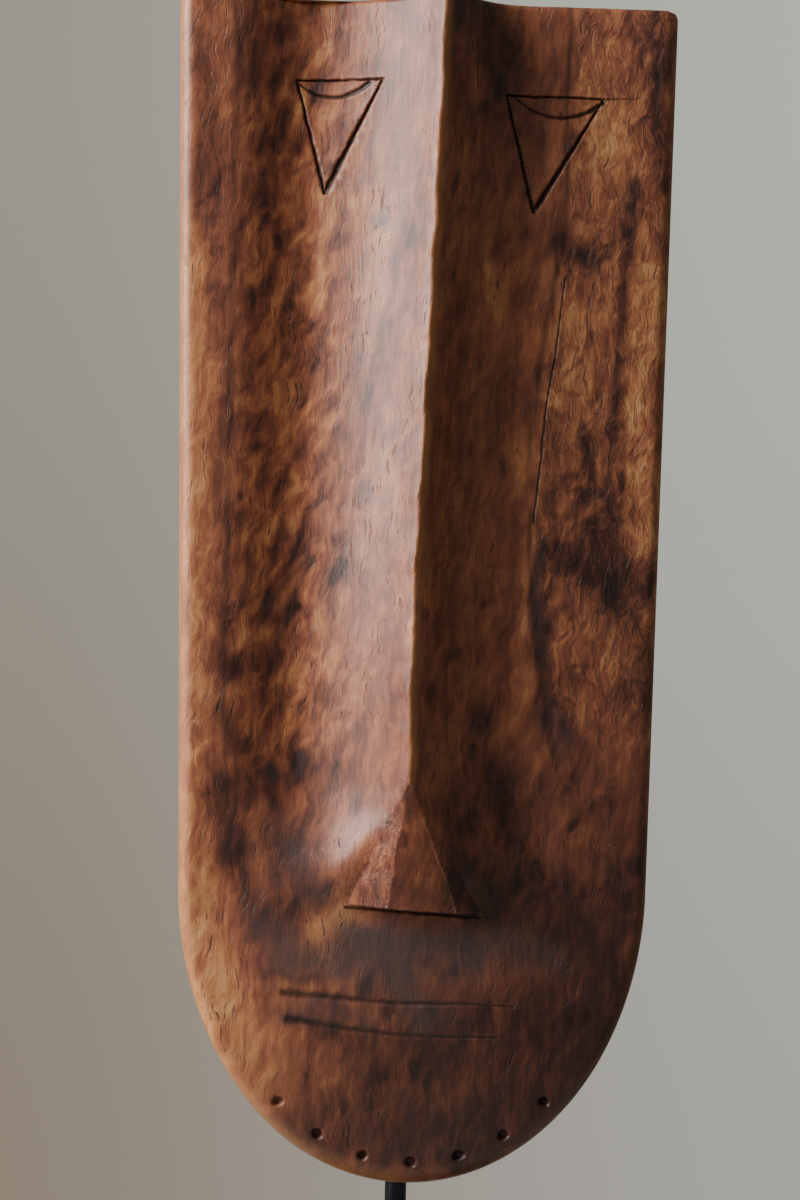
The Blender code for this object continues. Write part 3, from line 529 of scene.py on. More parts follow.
# darker and lighter places: stains in the wood, with painted shade and painted highlight among them, in mm on
# the face: x, z, x, z, half width, strength
stainAndShadeStrokes = {
    # dark: burn marks and stains, mostly on the left cheek, and painted shade right of the ridge, beside and
    # under the nose, and over the right and lower chin
    "dark": (
        (-95, 484, -90, 400, 6.0, 0.36), (-88, 400, -84, 330, 3.2, 0.25), (-77, 488, -75, 462, 8.0, 0.39),
        (-59, 484, -61, 466, 7.0, 0.25), (-73, 435, -69, 446, 4.5, 0.41), (-69, 418, -62, 437, 5.5, 0.44),
        (-55, 433, -53, 442, 3.0, 0.39), (-52, 404, -50, 416, 3.5, 0.30), (-55, 354, -54, 369, 3.5, 0.39),
        (-46, 345, -43, 359, 4.0, 0.41), (-68, 372, -62, 384, 4.0, 0.25), (-41, 298, -40, 305, 2.8, 0.39),
        (-52, 268, -51, 273, 3.4, 0.47), (-33, 258, -30, 272, 4.8, 0.70), (-63, 241, -62, 249, 4.4, 0.50),
        (-64, 207, -59, 230, 7.0, 0.45), (-59, 161, -58, 169, 4.0, 0.95), (-47, 170, -47, 179, 3.6, 0.95),
        (-73, 187, -81, 196, 4.5, 0.60), (-84, 330, -82, 200, 2.4, 0.28), (-79, 166, -75, 136, 6.0, 0.80),
        (-75, 136, -63, 109, 8.0, 0.75), (60, 265, 85, 257, 9.0, 0.95), (81, 274, 86, 244, 5.5, 0.85),
        (49, 285, 52, 240, 2.6, 0.80), (51, 246, 54, 224, 3.6, 0.95), (54, 224, 60, 204, 4.2, 0.80),
        (55, 196, 68, 187, 9.0, 0.65), (69, 318, 71, 297, 2.6, 0.90), (71, 300, 67, 284, 2.2, 0.60),
        (89, 424, 86, 390, 3.2, 0.85), (86, 390, 82, 322, 2.8, 0.85), (82, 322, 82, 280, 3.0, 0.70),
        (58, 402, 71, 391, 5.0, 0.75), (98, 500, 98, 440, 4.0, 0.55), (100, 262, 98, 244, 3.0, 0.70),
        (20, 494, 34, 476, 12.0, 0.75), (8, 500, 14, 440, 9.0, 0.40), (27, 205, 28, 195, 4.5, 0.90),
        (36, 178, 44, 150, 6.0, 0.60), (46, 118, 88, 94, 14.0, 0.70), (18, 134, 38, 114, 8.0, 0.75),
        (38, 58, 82, 70, 17.0, 0.70), (60, 40, 40, 22, 10.0, 0.60), (95, 150, 90, 100, 6.0, 0.60),
        (-60, 88, -38, 86, 2.2, 0.60), (-50, 69, -30, 65, 2.6, 0.65), (-20, 13, 20, 11, 5.0, 0.50),
        (-60, 25, -30, 12, 4.0, 0.45), (4, 34, 70, 60, 26.0, 0.75), (-30, 22, 20, 24, 12.0, 0.45),
        (0, 66, 80, 88, 20.0, 0.45), (-18, 60, -8, 32, 9.0, 0.45), (60, 110, 80, 140, 12.0, 0.40),
        (-36, 28, 62, 48, 32.0, 0.62), (34, 126, 92, 122, 20.0, 0.62), (36, 160, 92, 165, 20.0, 0.42),
        (70, 40, 40, 24, 14.0, 0.60), (80, 238, 96, 214, 12.0, 0.50), (-52, 140, -42, 122, 12.0, 0.60),
        (30, 470, 44, 440, 10.0, 0.35), (12, 160, 22, 128, 5.0, 0.55), (-10, 128, 6, 124, 6.0, 0.35),
    ),
    # amber: golden wood, with painted highlight on the lit left of the chin
    "amber": (
        (96, 410, 93, 331, 7.5, 0.95), (94, 331, 98, 272, 7.0, 0.90), (46, 312, 48, 238, 4.0, 0.75),
        (77, 238, 84, 222, 8.0, 0.80), (24, 403, 32, 360, 8.0, 0.60), (74, 480, 79, 428, 9.0, 0.65),
        (88, 455, 92, 440, 7.0, 0.50), (70, 365, 66, 340, 6.0, 0.40), (52, 390, 60, 370, 5.0, 0.50),
        (-96, 400, -92, 204, 6.0, 0.85), (-94, 120, -83, 77, 12.0, 0.95), (-93, 204, -95, 120, 6.0, 0.80),
        (-60, 57, -30, 42, 13.0, 0.65), (4, 40, 24, 39, 10.0, 0.60), (-42, 110, -12, 112, 5.0, 0.85),
        (-30, 455, -22, 400, 8.0, 0.25), (-66, 460, -72, 448, 5.0, 0.40), (-40, 380, -30, 350, 6.0, 0.35),
        (-78, 60, -50, 34, 15.0, 0.75), (-88, 110, -80, 80, 9.0, 0.60),
    ),
    "soot": (
        (-50, 95, -5, 93, 10.0, 0.85), (-24, 103, 26, 98, 9.0, 0.95), (-6, 86, 6, 72, 10.0, 0.75),
        (26, 99, 60, 96, 8.0, 0.60), (-52, 73, -20, 72, 4.5, 0.50), (-62, 108, -44, 98, 7.0, 0.45),
        (-58, 148, -40, 122, 10.0, 0.45), (56, 200, 66, 186, 6.0, 0.45), (50, 262, 53, 225, 3.0, 0.45),
        (-59, 166, -58, 170, 2.6, 0.60), (-63, 243, -62, 249, 2.6, 0.55), (-47, 172, -47, 179, 2.6, 0.60),
    ),
}


def pitPlaces():
    middle = (pitRow["count"] - 1) / 2
    places = []
    for index in range(pitRow["count"]):
        angle = (index - middle) * pitRow["angle"]
        x = (maskForm["chinHalfWidth"] - pitRow["inset"]) * math.sin(angle)
        z = maskForm["chinHeight"] - (maskForm["chinHeight"] - pitRow["inset"]) * math.cos(angle)
        places.append(Vector((x, z)))
    return places


pits = pitPlaces()


def pitGap(x, z):
    ragged = pitRow["ragged"] * noise.noise(Vector((x * 260.0, 9.0, z * 260.0)))
    return max(0.0, ragged + min(math.hypot(x - pit.x, (z - pit.y) * 1.15) for pit in pits))


def carvedMarks(x, z):  # shallow hollows left by the tools under the polish
    broad = noise.noise(Vector((x * 24.0, 3.1, z * 11.0)))
    close = noise.noise(Vector((x * 75.0, 7.7, z * 42.0)))
    return toolMarks["broad"] * broad + toolMarks["close"] * close


def detailHeight(x, z):  # returns height change, line mark and pit mark; both marks are painted shade in the cut lines and pits
    height = carvedMarks(x, z)
    mark = 0.0
    sway = cutLines["sway"] * noise.noise(Vector((x * 170.0, 4.0, z * 170.0)))
    gap, depth, width, darkness = strokeAt(x + sway, z + sway)
    if gap < cutLines["reach"]:
        waver = 1.0 + 0.35 * noise.noise(Vector((x * 400.0, 1.0, z * 400.0)))
        cut = clamp(1.0 - gap / (width * waver))
        height -= depth * cut ** 0.8
        burr = math.exp(-(((gap - width * 1.4) / (width * 0.6)) ** 2))
        height += cutLines["burr"] * burr
        mark = darkness * ease(1.35 * clamp(1.0 - gap / (width * waver * 1.25)))
    hole = 0.0
    # painted shade: the pit mark darkens each pit
    if z < pitRow["top"]:
        hole = clamp(1.0 - pitGap(x, z) / pitRow["radius"])
        height -= pitRow["depth"] * ease(hole * 1.25)
    return height, mark, hole


def outlinePoint(across, rowZ, inset=0.0):
    form = maskForm
    rowZ = mix(inset, form["height"] - inset, rowZ / form["height"])
    if rowZ >= form["chinHeight"]:
        return across * (halfWidth(rowZ) - inset), rowZ
    drop = (form["chinHeight"] - rowZ) / (form["chinHeight"] - inset)
    x = across * (form["chinHalfWidth"] - inset) * math.sqrt(1.0 - drop ** 2 / 2)
    z = form["chinHeight"] - (form["chinHeight"] - inset) * drop * math.sqrt(1.0 - across ** 2 / 2)
    return x, z


def acrossAt(position):  # columns gathered a little toward the sides
    size = abs(position)
    return math.copysign(mix(size, math.sin(math.pi / 2 * size), 0.5), position)


def rowAt(position):  # rows gathered a little toward the top and the chin
    share = (position + 1.0) / 2
    return maskForm["height"] * mix(share, (1.0 - math.cos(math.pi * share)) / 2, 0.35)


def backFloor(x, z):
    offset = x - ridgeX(z)
    channel = maskForm["ridgeRise"] - maskForm["channelCover"]
    channel *= math.exp(-((offset / maskForm["channelSpread"]) ** 2))
    channel *= clamp((z - noseForm["baseZ"]) / maskForm["channelFade"] + 0.5)
    return maskForm["woodThickness"] + hollowDepth(x, z) - channel - chinDome(x, z) / 2


def adzeMarks(x, z):  # scooped facets left rough on the back
    point = Vector((x * 60.0, 0.5, z * 34.0))
    distances, _ = noise.voronoi(point)
    return toolMarks["facets"] * (distances[0] - 0.5) + toolMarks["dips"] * noise.noise(point * 0.5)


def hollowPoint(x, z):  # a point of the hollow back
    form = maskForm
    sides = edgeDistance(x, z) - form["rimWidth"]
    distance = min(sides, form["height"] - z - form["rimWidth"]) - form["sideTaper"]
    short = clamp(1.0 - distance / form["hollowFillet"])
    wall = 1.0 - math.sqrt(1.0 - short ** 2)
    floor = backFloor(x, z) - adzeMarks(x, z) * clamp(distance / 0.010)
    return Vector((x, mix(floor, form["wallDepth"], wall), z))


def refineNear(bm, gapFunction, reach):
    close = {}
    for vertex in bm.verts:
        close[vertex] = gapFunction(vertex.co.x, vertex.co.z) < reach
    edges = [edge for edge in bm.edges if close[edge.verts[0]] and close[edge.verts[1]]]
    bmesh.ops.subdivide_edges(bm, edges=edges, cuts=1, use_grid_fill=True)


def featureGap(x, z):  # distance to the nearest line, pit or nose edge
    gap = strokeAt(x, z)[0]
    if z < pitRow["top"]:
        gap = min(gap, max(0.0, pitGap(x, z) - pitRow["radius"]))
    if z > noseForm["apexZ"]:
        return min(gap, max(0.0, abs(x - ridgeX(z)) - 0.0012))
    share = (noseForm["apexZ"] - z) / (noseForm["apexZ"] - noseForm["baseZ"])
    left = noseForm["leftFoot"] * share - 0.006
    right = noseForm["rightFoot"] * share + 0.004
    return 0.0 if z > noseForm["baseZ"] - 0.004 and left < x < right else gap


def wearAndRimLightAt(x, z):  # how far wax and colour are rubbed off the high edges, with painted highlight: the outer rim is made far lighter on the left, where the light falls, than on the shaded right
    form = wearAndPaintedLightForm
    arris = math.exp(-(((x - arrisX(x, z) - form["arrisShift"]) / form["arrisWidth"]) ** 2))
    arris *= ease((z - form["arrisFootZ"]) / 0.01)
    patchy = 0.75 + 0.5 * noise.noise(Vector((1.0, 0.0, z * 40.0)))
    rim = math.exp(-((edgeDistance(x, z) / form["rimWidth"]) ** 2))
    # painted highlight: the rim counts strongly on the lit left and weakly on the right
    return max(arris * patchy, rim * mix(0.8, 0.15, ease(x / 0.02 + 0.5)))


def shadeLineAt(x, z):  # painted shade: a dark fine line round a cheek hollow, where the crease falls into shade
    if z < 0.10:
        return 0.0
    waver = wearAndPaintedLightForm["shadeLineWaver"] * noise.noise(Vector((x * 90.0, 2.0, z * 70.0)))
    strength = clamp(0.8 + 0.7 * noise.noise(Vector((6.0, 0.0, z * 45.0))))
    line = math.exp(-(((creaseInset(x, z) + waver) / wearAndPaintedLightForm["shadeLineWidth"]) ** 2))
    return strength * line * ease((z - wearAndPaintedLightForm["shadeLineFootZ"]) / 0.07)


def roughAt(x, z):  # where the wood was left rougher: nose facet, right side, outer rims
    share = clamp((noseForm["apexZ"] - z) / (noseForm["apexZ"] - noseForm["baseZ"]))
    left = mix(ridgeX(z), noseForm["leftFoot"], share)
    right = mix(ridgeX(z), noseForm["leftArris"], share)
    facet = 0.0
    if 0.0 < share < 1.0:
        facet = ease((x - left + 0.003) / 0.003) * ease((right - x + 0.001) / 0.002)
    side = ease((x - rightCrease(z)) / 0.006) * ease((z - wearAndPaintedLightForm["roughFootZ"]) / 0.06)
    rim = 0.25 * ease((wearAndPaintedLightForm["roughRimX"] - x) / 0.006)
    return max(facet, side, rim)


def paintMask(mesh, count):  # the face's stains, painted shade and painted highlight, kept as attributes of its points
    places = [vertex.co.copy() for vertex in mesh.vertices]
    elsewhere = Vector((31.7, 8.3, 17.9))  # z sways by another part of the same noise than x
    for name, strokesOfKind in stainAndShadeStrokes.items():
        values = []
        boxes = []
        for x0, z0, x1, z1, width, strength in strokesOfKind:
            start, along = Vector((x0, z0)), Vector((x1 - x0, z1 - z0))
            box = boxRound(((x0, z0), (x1, z1)), width * 2.4 + 6.0)
            boxes.append((start, along, width, strength, box))
        for index, place in enumerate(places):
            if index >= count:
                values.append(0.0)
                continue
            x, z = place.x * 1000.0 + 1.6, (place.z - maskLow.z) * 1000.0 - 1.0
            broad = Vector((x * 0.07, 1.7, z * 0.045))
            fine = Vector((x * 0.24, 5.1, z * 0.15))
            x += 4.0 * noise.noise(broad) + 1.3 * noise.noise(fine)
            z += 7.0 * noise.noise(broad + elsewhere) + 2.2 * noise.noise(fine + elsewhere)
            clear = 1.0
            for start, along, width, strength, (left, right, low, high) in boxes:
                if left < x < right and low < z < high:
                    gap = nearOn(start, along, x, z)[1]
                    clear *= 1.0 - strength * math.exp(-((gap / width) ** 2))
            values.append(1.0 - clear)
        layer = mesh.attributes.new(name, "FLOAT", "POINT")
        layer.data.foreach_set("value", values)


def buildMask():
    columns = 2 * maskGrid["columnsPerSide"]
    rows = maskGrid["rows"]
    bm = bmesh.new()
    gridX = bm.verts.layers.float.new("gridX")
    gridZ = bm.verts.layers.float.new("gridZ")
    marks = {name: bm.verts.layers.float.new(name) for name in maskMarks}
    bmesh.ops.create_grid(bm, x_segments=columns, y_segments=rows, size=1.0)
    for vertex in bm.verts:
        vertex[gridX] = vertex.co.x
        vertex[gridZ] = vertex.co.y
        across = acrossAt(vertex.co.x)
        x, z = outlinePoint(across, rowAt(vertex.co.y))
        x += (1.0 - across ** 2) * ridgeX(z)
        vertex.co = Vector((x, 0.0, z))
    for reach in maskGrid["refineReach"]:
        refineNear(bm, featureGap, reach)
    for vertex in bm.verts:
        x, z = vertex.co.x, vertex.co.z
        drop = roundedDrop(edgeDistance(x, z), maskForm["sideRound"])
        drop = max(drop, roundedDrop(maskForm["height"] - z, maskForm["topRound"]))
        change, mark, hole = detailHeight(x, z)
        flat = clamp(edgeDistance(x, z) / 0.006)
        vertex.co.y = drop - faceHeight(x, z) - change * flat
        # the line and pit marks darken cuts and pits as painted shade
        vertex[marks["incised"]] = mark
        vertex[marks["pitted"]] = hole
        # wear, with painted highlight on the lit left rim
        vertex[marks["worn"]] = wearAndRimLightAt(x, z)
        # painted shade along the crease line round the cheek hollows
        vertex[marks["creased"]] = shadeLineAt(x, z)
        vertex[marks["rough"]] = roughAt(x, z)
        cheek = ease((wearAndPaintedLightForm["figureX"] - x) / wearAndPaintedLightForm["figureSpread"]) * ease(creaseInset(x, z) / 0.008)
        vertex[marks["figured"]] = cheek * ease((z - wearAndPaintedLightForm["shadeLineFootZ"]) / 0.06)
        vertex[marks["face"]] = 1.0
    faceCount = len(bm.verts)
    edges = [edge for edge in bm.edges if edge.is_boundary]
    taper = maskForm["sideTaper"]
    depth = maskForm["wallDepth"]
    for outShare, depthShare in maskGrid["sideRings"]:
        edges = drawRing(bm, edges, gridX, gridZ, taper * outShare, depth * depthShare)
    edges = drawRing(bm, edges, gridX, gridZ, taper + maskForm["rimWidth"], depth)
    drawHollow(bm, edges, gridX, gridZ)
    for vertex in bm.verts:
        vertex.co += Vector((0.0, maskHigh.y - depth, maskLow.z))
    piece = pieceFromBmesh(bm, "maskCarving", "mask", "hung_mask", "carved_wood", 80.0)
    paintMask(piece.data, faceCount)
    return piece


def extrudeRing(bm, edges):  # gives the new points and the new free edges
    made = bmesh.ops.extrude_edge_only(bm, edges=edges)["geom"]
    points = [item for item in made if isinstance(item, bmesh.types.BMVert)]
    return points, [item for item in made if isinstance(item, bmesh.types.BMEdge) and item.is_boundary]


def drawRing(bm, edges, gridX, gridZ, inset, depth):
    ring, edges = extrudeRing(bm, edges)
    for vertex in ring:
        x, z = outlinePoint(acrossAt(vertex[gridX]), rowAt(vertex[gridZ]), inset)
        sway = 0.0004 * noise.noise(Vector((x * 30.0, depth * 60.0, z * 30.0)))
        vertex.co = Vector((x * (1.0 - sway * 8), depth, z))
    return edges


def drawHollow(bm, edges, gridX, gridZ):  # rings that close in to the middle line of the back
    start = maskForm["sideTaper"] + maskForm["rimWidth"]
    rings = maskGrid["hollowRings"]
    for step in range(1, rings + 1):
        inset = mix(start, maskForm["chinHalfWidth"], step / rings)
        ring, edges = extrudeRing(bm, edges)
        for vertex in ring:
            x, z = outlinePoint(acrossAt(vertex[gridX]), rowAt(vertex[gridZ]), inset)
            vertex.co = hollowPoint(x if step < rings else 0.0, z)
    bmesh.ops.remove_doubles(bm, verts=ring, dist=0.00001)


# finishes

woodFinish = {
    "grain": (
        (0.00, 44, 27, 24), (0.22, 82, 48, 41), (0.45, 138, 81, 61),
        (0.62, 172, 107, 75), (0.80, 206, 142, 94), (1.00, 228, 174, 122),
    ),
    "darkFibre": (70, 41, 33),
    "paleFibre": (206, 140, 92),
    "vein": (60, 36, 26),
    # real stains, and painted shade where the dark strokes stand for shade
    "stainAndShadeTone": (46, 27, 26),
    "smoke": (66, 61, 64),
    "pore": (34, 21, 18),
    # painted shade in the fine crease line
    "shadeLineTone": (28, 17, 15),
    # rubbed edges, and painted highlight on the lit left rim
    "rubbedAndLit": (222, 156, 100),
    "bare": (112, 80, 60),  # the back, without wax
    # painted shade in the gouged lines
    "cut": (13, 8, 7),
    # painted shade in the pits
    "pit": (26, 16, 13),
    "gloss": 0.42,
    "wax": 0.12,
}


def carvedWood():
    bench = Bench("carvedWood")
    look = woodFinish
    warp = bench.cloud(bench.coords, 55.0, 2.0, 0.5, output="Color")
    sway = bench.vector("SUBTRACT", warp, (0.5, 0.5, 0.5))
    bent = bench.vector("MULTIPLY_ADD", sway, (0.010, 0.004, 0.016), bench.coords)
    kept = ("rough", "figured", "dark", "amber", "soot", "face")
    rough, figured, dark, amber, soot, face = [bench.attribute(name) for name in kept]

    def grain(stretch, lean, scale, *settings):  # noise drawn out along the trunk
        return bench.cloud(bench.lay(bent, (1.0, 1.0, stretch), lean), scale, *settings)

    flames = grain(2.5, 0.36, 165.0, 3.0, 0.55)
    clouds = grain(1.8, 0.2, 38.0, 3.0, 0.55)
    swirls = grain(2.0, 0.1, 300.0, 3.0, 0.6, 0.6)
    fibre = grain(22.0, 0.02, 1300.0, 3.0, 0.6)
    strands = grain(16.0, 0.03, 420.0, 2.0, 0.6)
    pores = bench.step(grain(12.0, 0.05, 900.0, 2.0, 0.55), 0.62, 0.70)
    pores = pores * bench.step(clouds, 0.40, 0.62)
    contour = grain(4.5, 0.05, 210.0, 2.0, 0.5, 0.8)
    veins = bench.step(bench.absolute(contour - 0.5), 0.022, 0.0)
    spotField = bench.lay(bent, (1.0, 1.0, 1.9), 0.3)
    spotGap = bench.cells(spotField, 72.0)
    spotPick = bench.cells(spotField, 72.0, "Color")
    spotSize = bench.axis(spotPick, "X") * 0.25 + 0.18
    spotShown = bench.step(bench.axis(spotPick, "Y"), 0.42, 0.5)
    spots = bench.step(spotGap / spotSize, 1.0, 0.35) * spotShown

    # dark lowers the grain level too: real stains, and painted shade
    level = (flames - 0.5) * (figured * 0.8 + 0.7) + (clouds - 0.5) * 0.5 + (swirls - 0.5) * 0.25
    level = level + (strands - 0.5) * 0.32 + amber * 0.26 - dark * 0.30 + 0.51
    level = level - spots * face * (figured * 0.08 + 0.20) + (swirls - 0.5) * rough * 0.7
    colour = bench.tint(
        bench.ramp(level, look["grain"]),
        (bench.step(fibre, 0.48, 0.72) * 0.26, look["darkFibre"]),
        (bench.step(fibre, 0.45, 0.25) * 0.18, look["paleFibre"]),
        (veins * rough * 0.3, look["vein"]),
        # real stains, and painted shade
        (dark * 0.48, look["stainAndShadeTone"]),
        (soot * 0.8, look["smoke"]),
        (pores * 0.7, look["pore"]),
        # painted shade along the cheek crease
        (bench.attribute("creased") * 0.85, look["shadeLineTone"]),
        # rubbed edges, and painted highlight on the lit left rim
        (bench.attribute("worn") * 0.55, look["rubbedAndLit"]),
        ((1.0 - face) * 0.35, look["bare"]),
        # painted shade in the gouged lines
        (bench.attribute("incised") * 0.95, look["cut"]),
        # painted shade in the pits
        (bench.attribute("pitted") * 0.6, look["pit"]),
    )

    roughness = bench.step(clouds, 0.3, 0.7, look["gloss"] + 0.05, look["gloss"] - 0.05)
    roughness = roughness + soot * 0.12 + pores * 0.2 + (fibre - 0.5) * 0.12 + (1.0 - face) * 0.22
    fine = bench.bump(fibre * 0.6 - pores * 1.5 - veins * rough * 0.4, 0.5, 0.0003)
    normal = bench.bump(swirls * (rough * 1.6 + 0.25) + strands * 0.5, 0.45, 0.0008, fine)
    uniform = {"Coat Weight": look["wax"], "Coat Roughness": 0.3, "Specular IOR Level": 0.5}
    return bench.skin(colour, roughness, normal, uniform)


steelFinish = {
    "patina": ((0.25, 30, 32, 37), (0.48, 52, 55, 62), (0.62, 70, 73, 80), (0.80, 86, 84, 86)),
    "rust": (74, 54, 42),
    "pitScale": 900.0,
}


def blackenedSteel():
    bench = Bench("blackenedSteel")
    drawn = bench.cloud(bench.lay(bench.coords, (1.0, 1.0, 40.0)), 1500.0, 3.0, 0.6)
    patina = bench.cloud(bench.coords, 70.0, 4.0, 0.6)
    pitting = bench.step(bench.cloud(bench.coords, steelFinish["pitScale"], 3.0, 0.6), 0.66, 0.74)
    pitting = pitting * bench.step(patina, 0.48, 0.62)
    colour = bench.ramp(patina * 0.7 + drawn * 0.3, steelFinish["patina"])
    colour = bench.tint(colour, (pitting * 0.7, steelFinish["rust"]))
    roughness = bench.step(patina, 0.3, 0.7, 0.30, 0.44) + pitting * 0.3 + (drawn - 0.5) * 0.12
    normal = bench.bump(drawn - pitting * 0.8, 0.25, 0.0002)
    return bench.skin(colour, roughness, normal, {"Metallic": 1.0})


coatFinish = {
    "paint": ((0.3, 30, 30, 32), (0.55, 38, 38, 40), (0.8, 48, 47, 47)),
    "grit": (64, 64, 66),
    "scuff": (92, 91, 90),
}


def powderCoat():
    bench = Bench("powderCoat")
    peel = bench.cloud(bench.coords, 700.0, 2.0, 0.5)
    grit = bench.cells(bench.coords, 1500.0)
    cloudy = bench.cloud(bench.coords, 24.0, 4.0, 0.6)
    scuff = bench.step(bench.cloud(bench.lay(bench.coords, (26.0, 1.2, 1.0)), 260.0, 2.0, 0.5), 0.70, 0.76)
    scuff = scuff * bench.step(cloudy, 0.50, 0.62)
    colour = bench.tint(
        bench.ramp(cloudy, coatFinish["paint"]),
        (bench.step(grit, 0.30, 0.0) * 0.3, coatFinish["grit"]),
        (scuff * 0.4, coatFinish["scuff"]),
    )
    roughness = bench.step(cloudy, 0.3, 0.7, 0.46, 0.58) - scuff * 0.1
    normal = bench.bump(peel * 0.7 - grit * 0.5, 0.35, 0.0003)
    return bench.skin(colour, roughness, normal, {"Coat Weight": 0.05})


brassFinish = {
    "tarnish": ((0.28, 112, 84, 48), (0.46, 158, 126, 72), (0.60, 186, 154, 94), (0.78, 212, 184, 122)),
    "spot": (78, 58, 38),
}


def dullBrass():
    bench = Bench("dullBrass")
    tarnish = bench.cloud(bench.coords, 260.0, 4.0, 0.6)
    turning = bench.cloud(bench.lay(bench.coords, (1.0, 12.0, 1.0)), 2600.0, 2.0, 0.5)
    spots = bench.step(bench.cells(bench.coords, 420.0), 0.22, 0.08) * bench.step(tarnish, 0.5, 0.6)
    colour = bench.ramp(tarnish * 0.8 + turning * 0.2, brassFinish["tarnish"])
    colour = bench.tint(colour, (spots * 0.7, brassFinish["spot"]))
    roughness = bench.step(tarnish, 0.35, 0.65, 0.44, 0.28) + spots * 0.25
    normal = bench.bump(turning - spots * 0.6, 0.2, 0.00015)
    return bench.skin(colour, roughness, normal, {"Metallic": 1.0})


zincFinish = {"crystals": ((0.25, 132, 134, 134), (0.50, 170, 172, 170), (0.75, 198, 199, 194))}


def zincPlate():
    bench = Bench("zincPlate")
    crystal = bench.axis(bench.cells(bench.coords, 480.0, "Color"), "X")
    cloudy = bench.cloud(bench.coords, 150.0, 4.0, 0.6)
    colour = bench.ramp(crystal * 0.35 + cloudy * 0.65, zincFinish["crystals"])
    roughness = bench.step(crystal, 0.0, 1.0, 0.30, 0.42) + (cloudy - 0.5) * 0.15
    normal = bench.bump(cloudy, 0.15, 0.0002)
    return bench.skin(colour, roughness, normal, {"Metallic": 1.0})


rubberFinish = {"dark": (26, 26, 27), "pale": (36, 36, 36), "dust": (84, 80, 74)}


def footRubber():
    bench = Bench("footRubber")
    skin = bench.cloud(bench.coords, 1800.0, 3.0, 0.6)
    dust = bench.step(bench.cloud(bench.coords, 220.0, 4.0, 0.6), 0.50, 0.72)
    colour = bench.blend(skin, tone(*rubberFinish["dark"]), tone(*rubberFinish["pale"]))
    colour = bench.tint(colour, (dust * 0.5, rubberFinish["dust"]))
    roughness = bench.step(skin, 0.3, 0.7, 0.70, 0.82) + dust * 0.1
    normal = bench.bump(skin, 0.3, 0.0002)
    return bench.skin(colour, roughness, normal, {})


feltFinish = {"wool": ((0.30, 40, 36, 33), (0.50, 64, 59, 54), (0.68, 96, 89, 81))}


def woolFelt():
    bench = Bench("woolFelt")
    longways = bench.cloud(bench.lay(bench.coords, (9.0, 1.0, 1.0), 0.5), 2400.0, 2.0, 0.6, 0.8)
    crossways = bench.cloud(bench.lay(bench.coords, (1.0, 1.0, 8.0), 0.4), 2200.0, 2.0, 0.6, 0.8)
    clumps = bench.cloud(bench.coords, 500.0, 3.0, 0.6)
    matted = longways * 0.5 + crossways * 0.5
    colour = bench.ramp(matted * 0.7 + clumps * 0.3, feltFinish["wool"])
    roughness = bench.step(matted, 0.3, 0.7, 0.90, 1.0)
    normal = bench.bump(matted + clumps * 0.6, 0.7, 0.0004)
    uniform = {"Sheen Weight": 0.4, "Sheen Roughness": 0.5, "Specular IOR Level": 0.2}
    return bench.skin(colour, roughness, normal, uniform)


finishes = {
    "carved_wood": carvedWood(),
    "blackened_steel": blackenedSteel(),
    "painted_steel": powderCoat(),
    "brass": dullBrass(),
    "zinc_steel": zincPlate(),
    "rubber": footRubber(),
    "felt": woolFelt(),
}
for entry in frame["record"]["subparts"]:
    target = frame["nodes"][entry["node"]]
    target.data.materials.clear()
    target.data.materials.append(finishes[entry["material_slot"]])
print("finishes made")

maskPiece = buildMask()
print("mask carved:", len(maskPiece.data.polygons), "faces")


# stand: turned and milled pieces, each taken from the size of its node
def middle(node):
    low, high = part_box(node)
    return (Vector(low) + Vector(high)) / 2


def turned(profile, steps):  # spin (radius, height) points once round the Z axis
    bm = bmesh.new()
    points = [bm.verts.new((radius, 0.0, height)) for radius, height in profile]
    edges = [bm.edges.new(pair) for pair in zip(points, points[1:])]
    turn = {"cent": (0.0, 0.0, 0.0), "axis": (0.0, 0.0, 1.0), "angle": math.tau}
    bmesh.ops.spin(bm, geom=points + edges, steps=steps, use_merge=True, **turn)
    bmesh.ops.remove_doubles(bm, verts=bm.verts, dist=0.000002)
    bmesh.ops.recalc_face_normals(bm, faces=bm.faces)
    return bm


def roundEdges(bm, edges, width, segments):
    bevel = {"profile": 0.5, "affect": "EDGES", "material": -1, "clamp_overlap": True}
    bmesh.ops.bevel(bm, geom=edges, offset=width, segments=segments, **bevel)


def softenEdges(bm, width, segments=3, angle=35.0):  # round every edge sharper than an angle
    limit = math.radians(angle)
    edges = [edge for edge in bm.edges if edge.is_manifold and edge.calc_face_angle(0.0) > limit]
    roundEdges(bm, edges, width, segments)


def moved(bm, place, axis="Z"):  # Z stays up, or Z becomes +Y
    turn = Matrix.Rotation(-math.pi / 2, 4, "X") if axis == "Y" else Matrix.Identity(4)
    bmesh.ops.transform(bm, matrix=Matrix.Translation(place) @ turn, verts=bm.verts)
    return bm


def drilled(bm, place, radius, segments):  # cut a round hole along Y
    hole = bmesh.new()
    cone = {"radius1": radius, "radius2": radius, "depth": 0.020}
    bmesh.ops.create_cone(hole, cap_ends=True, segments=segments, **cone)
    return carved(bm, moved(hole, place, "Y"))


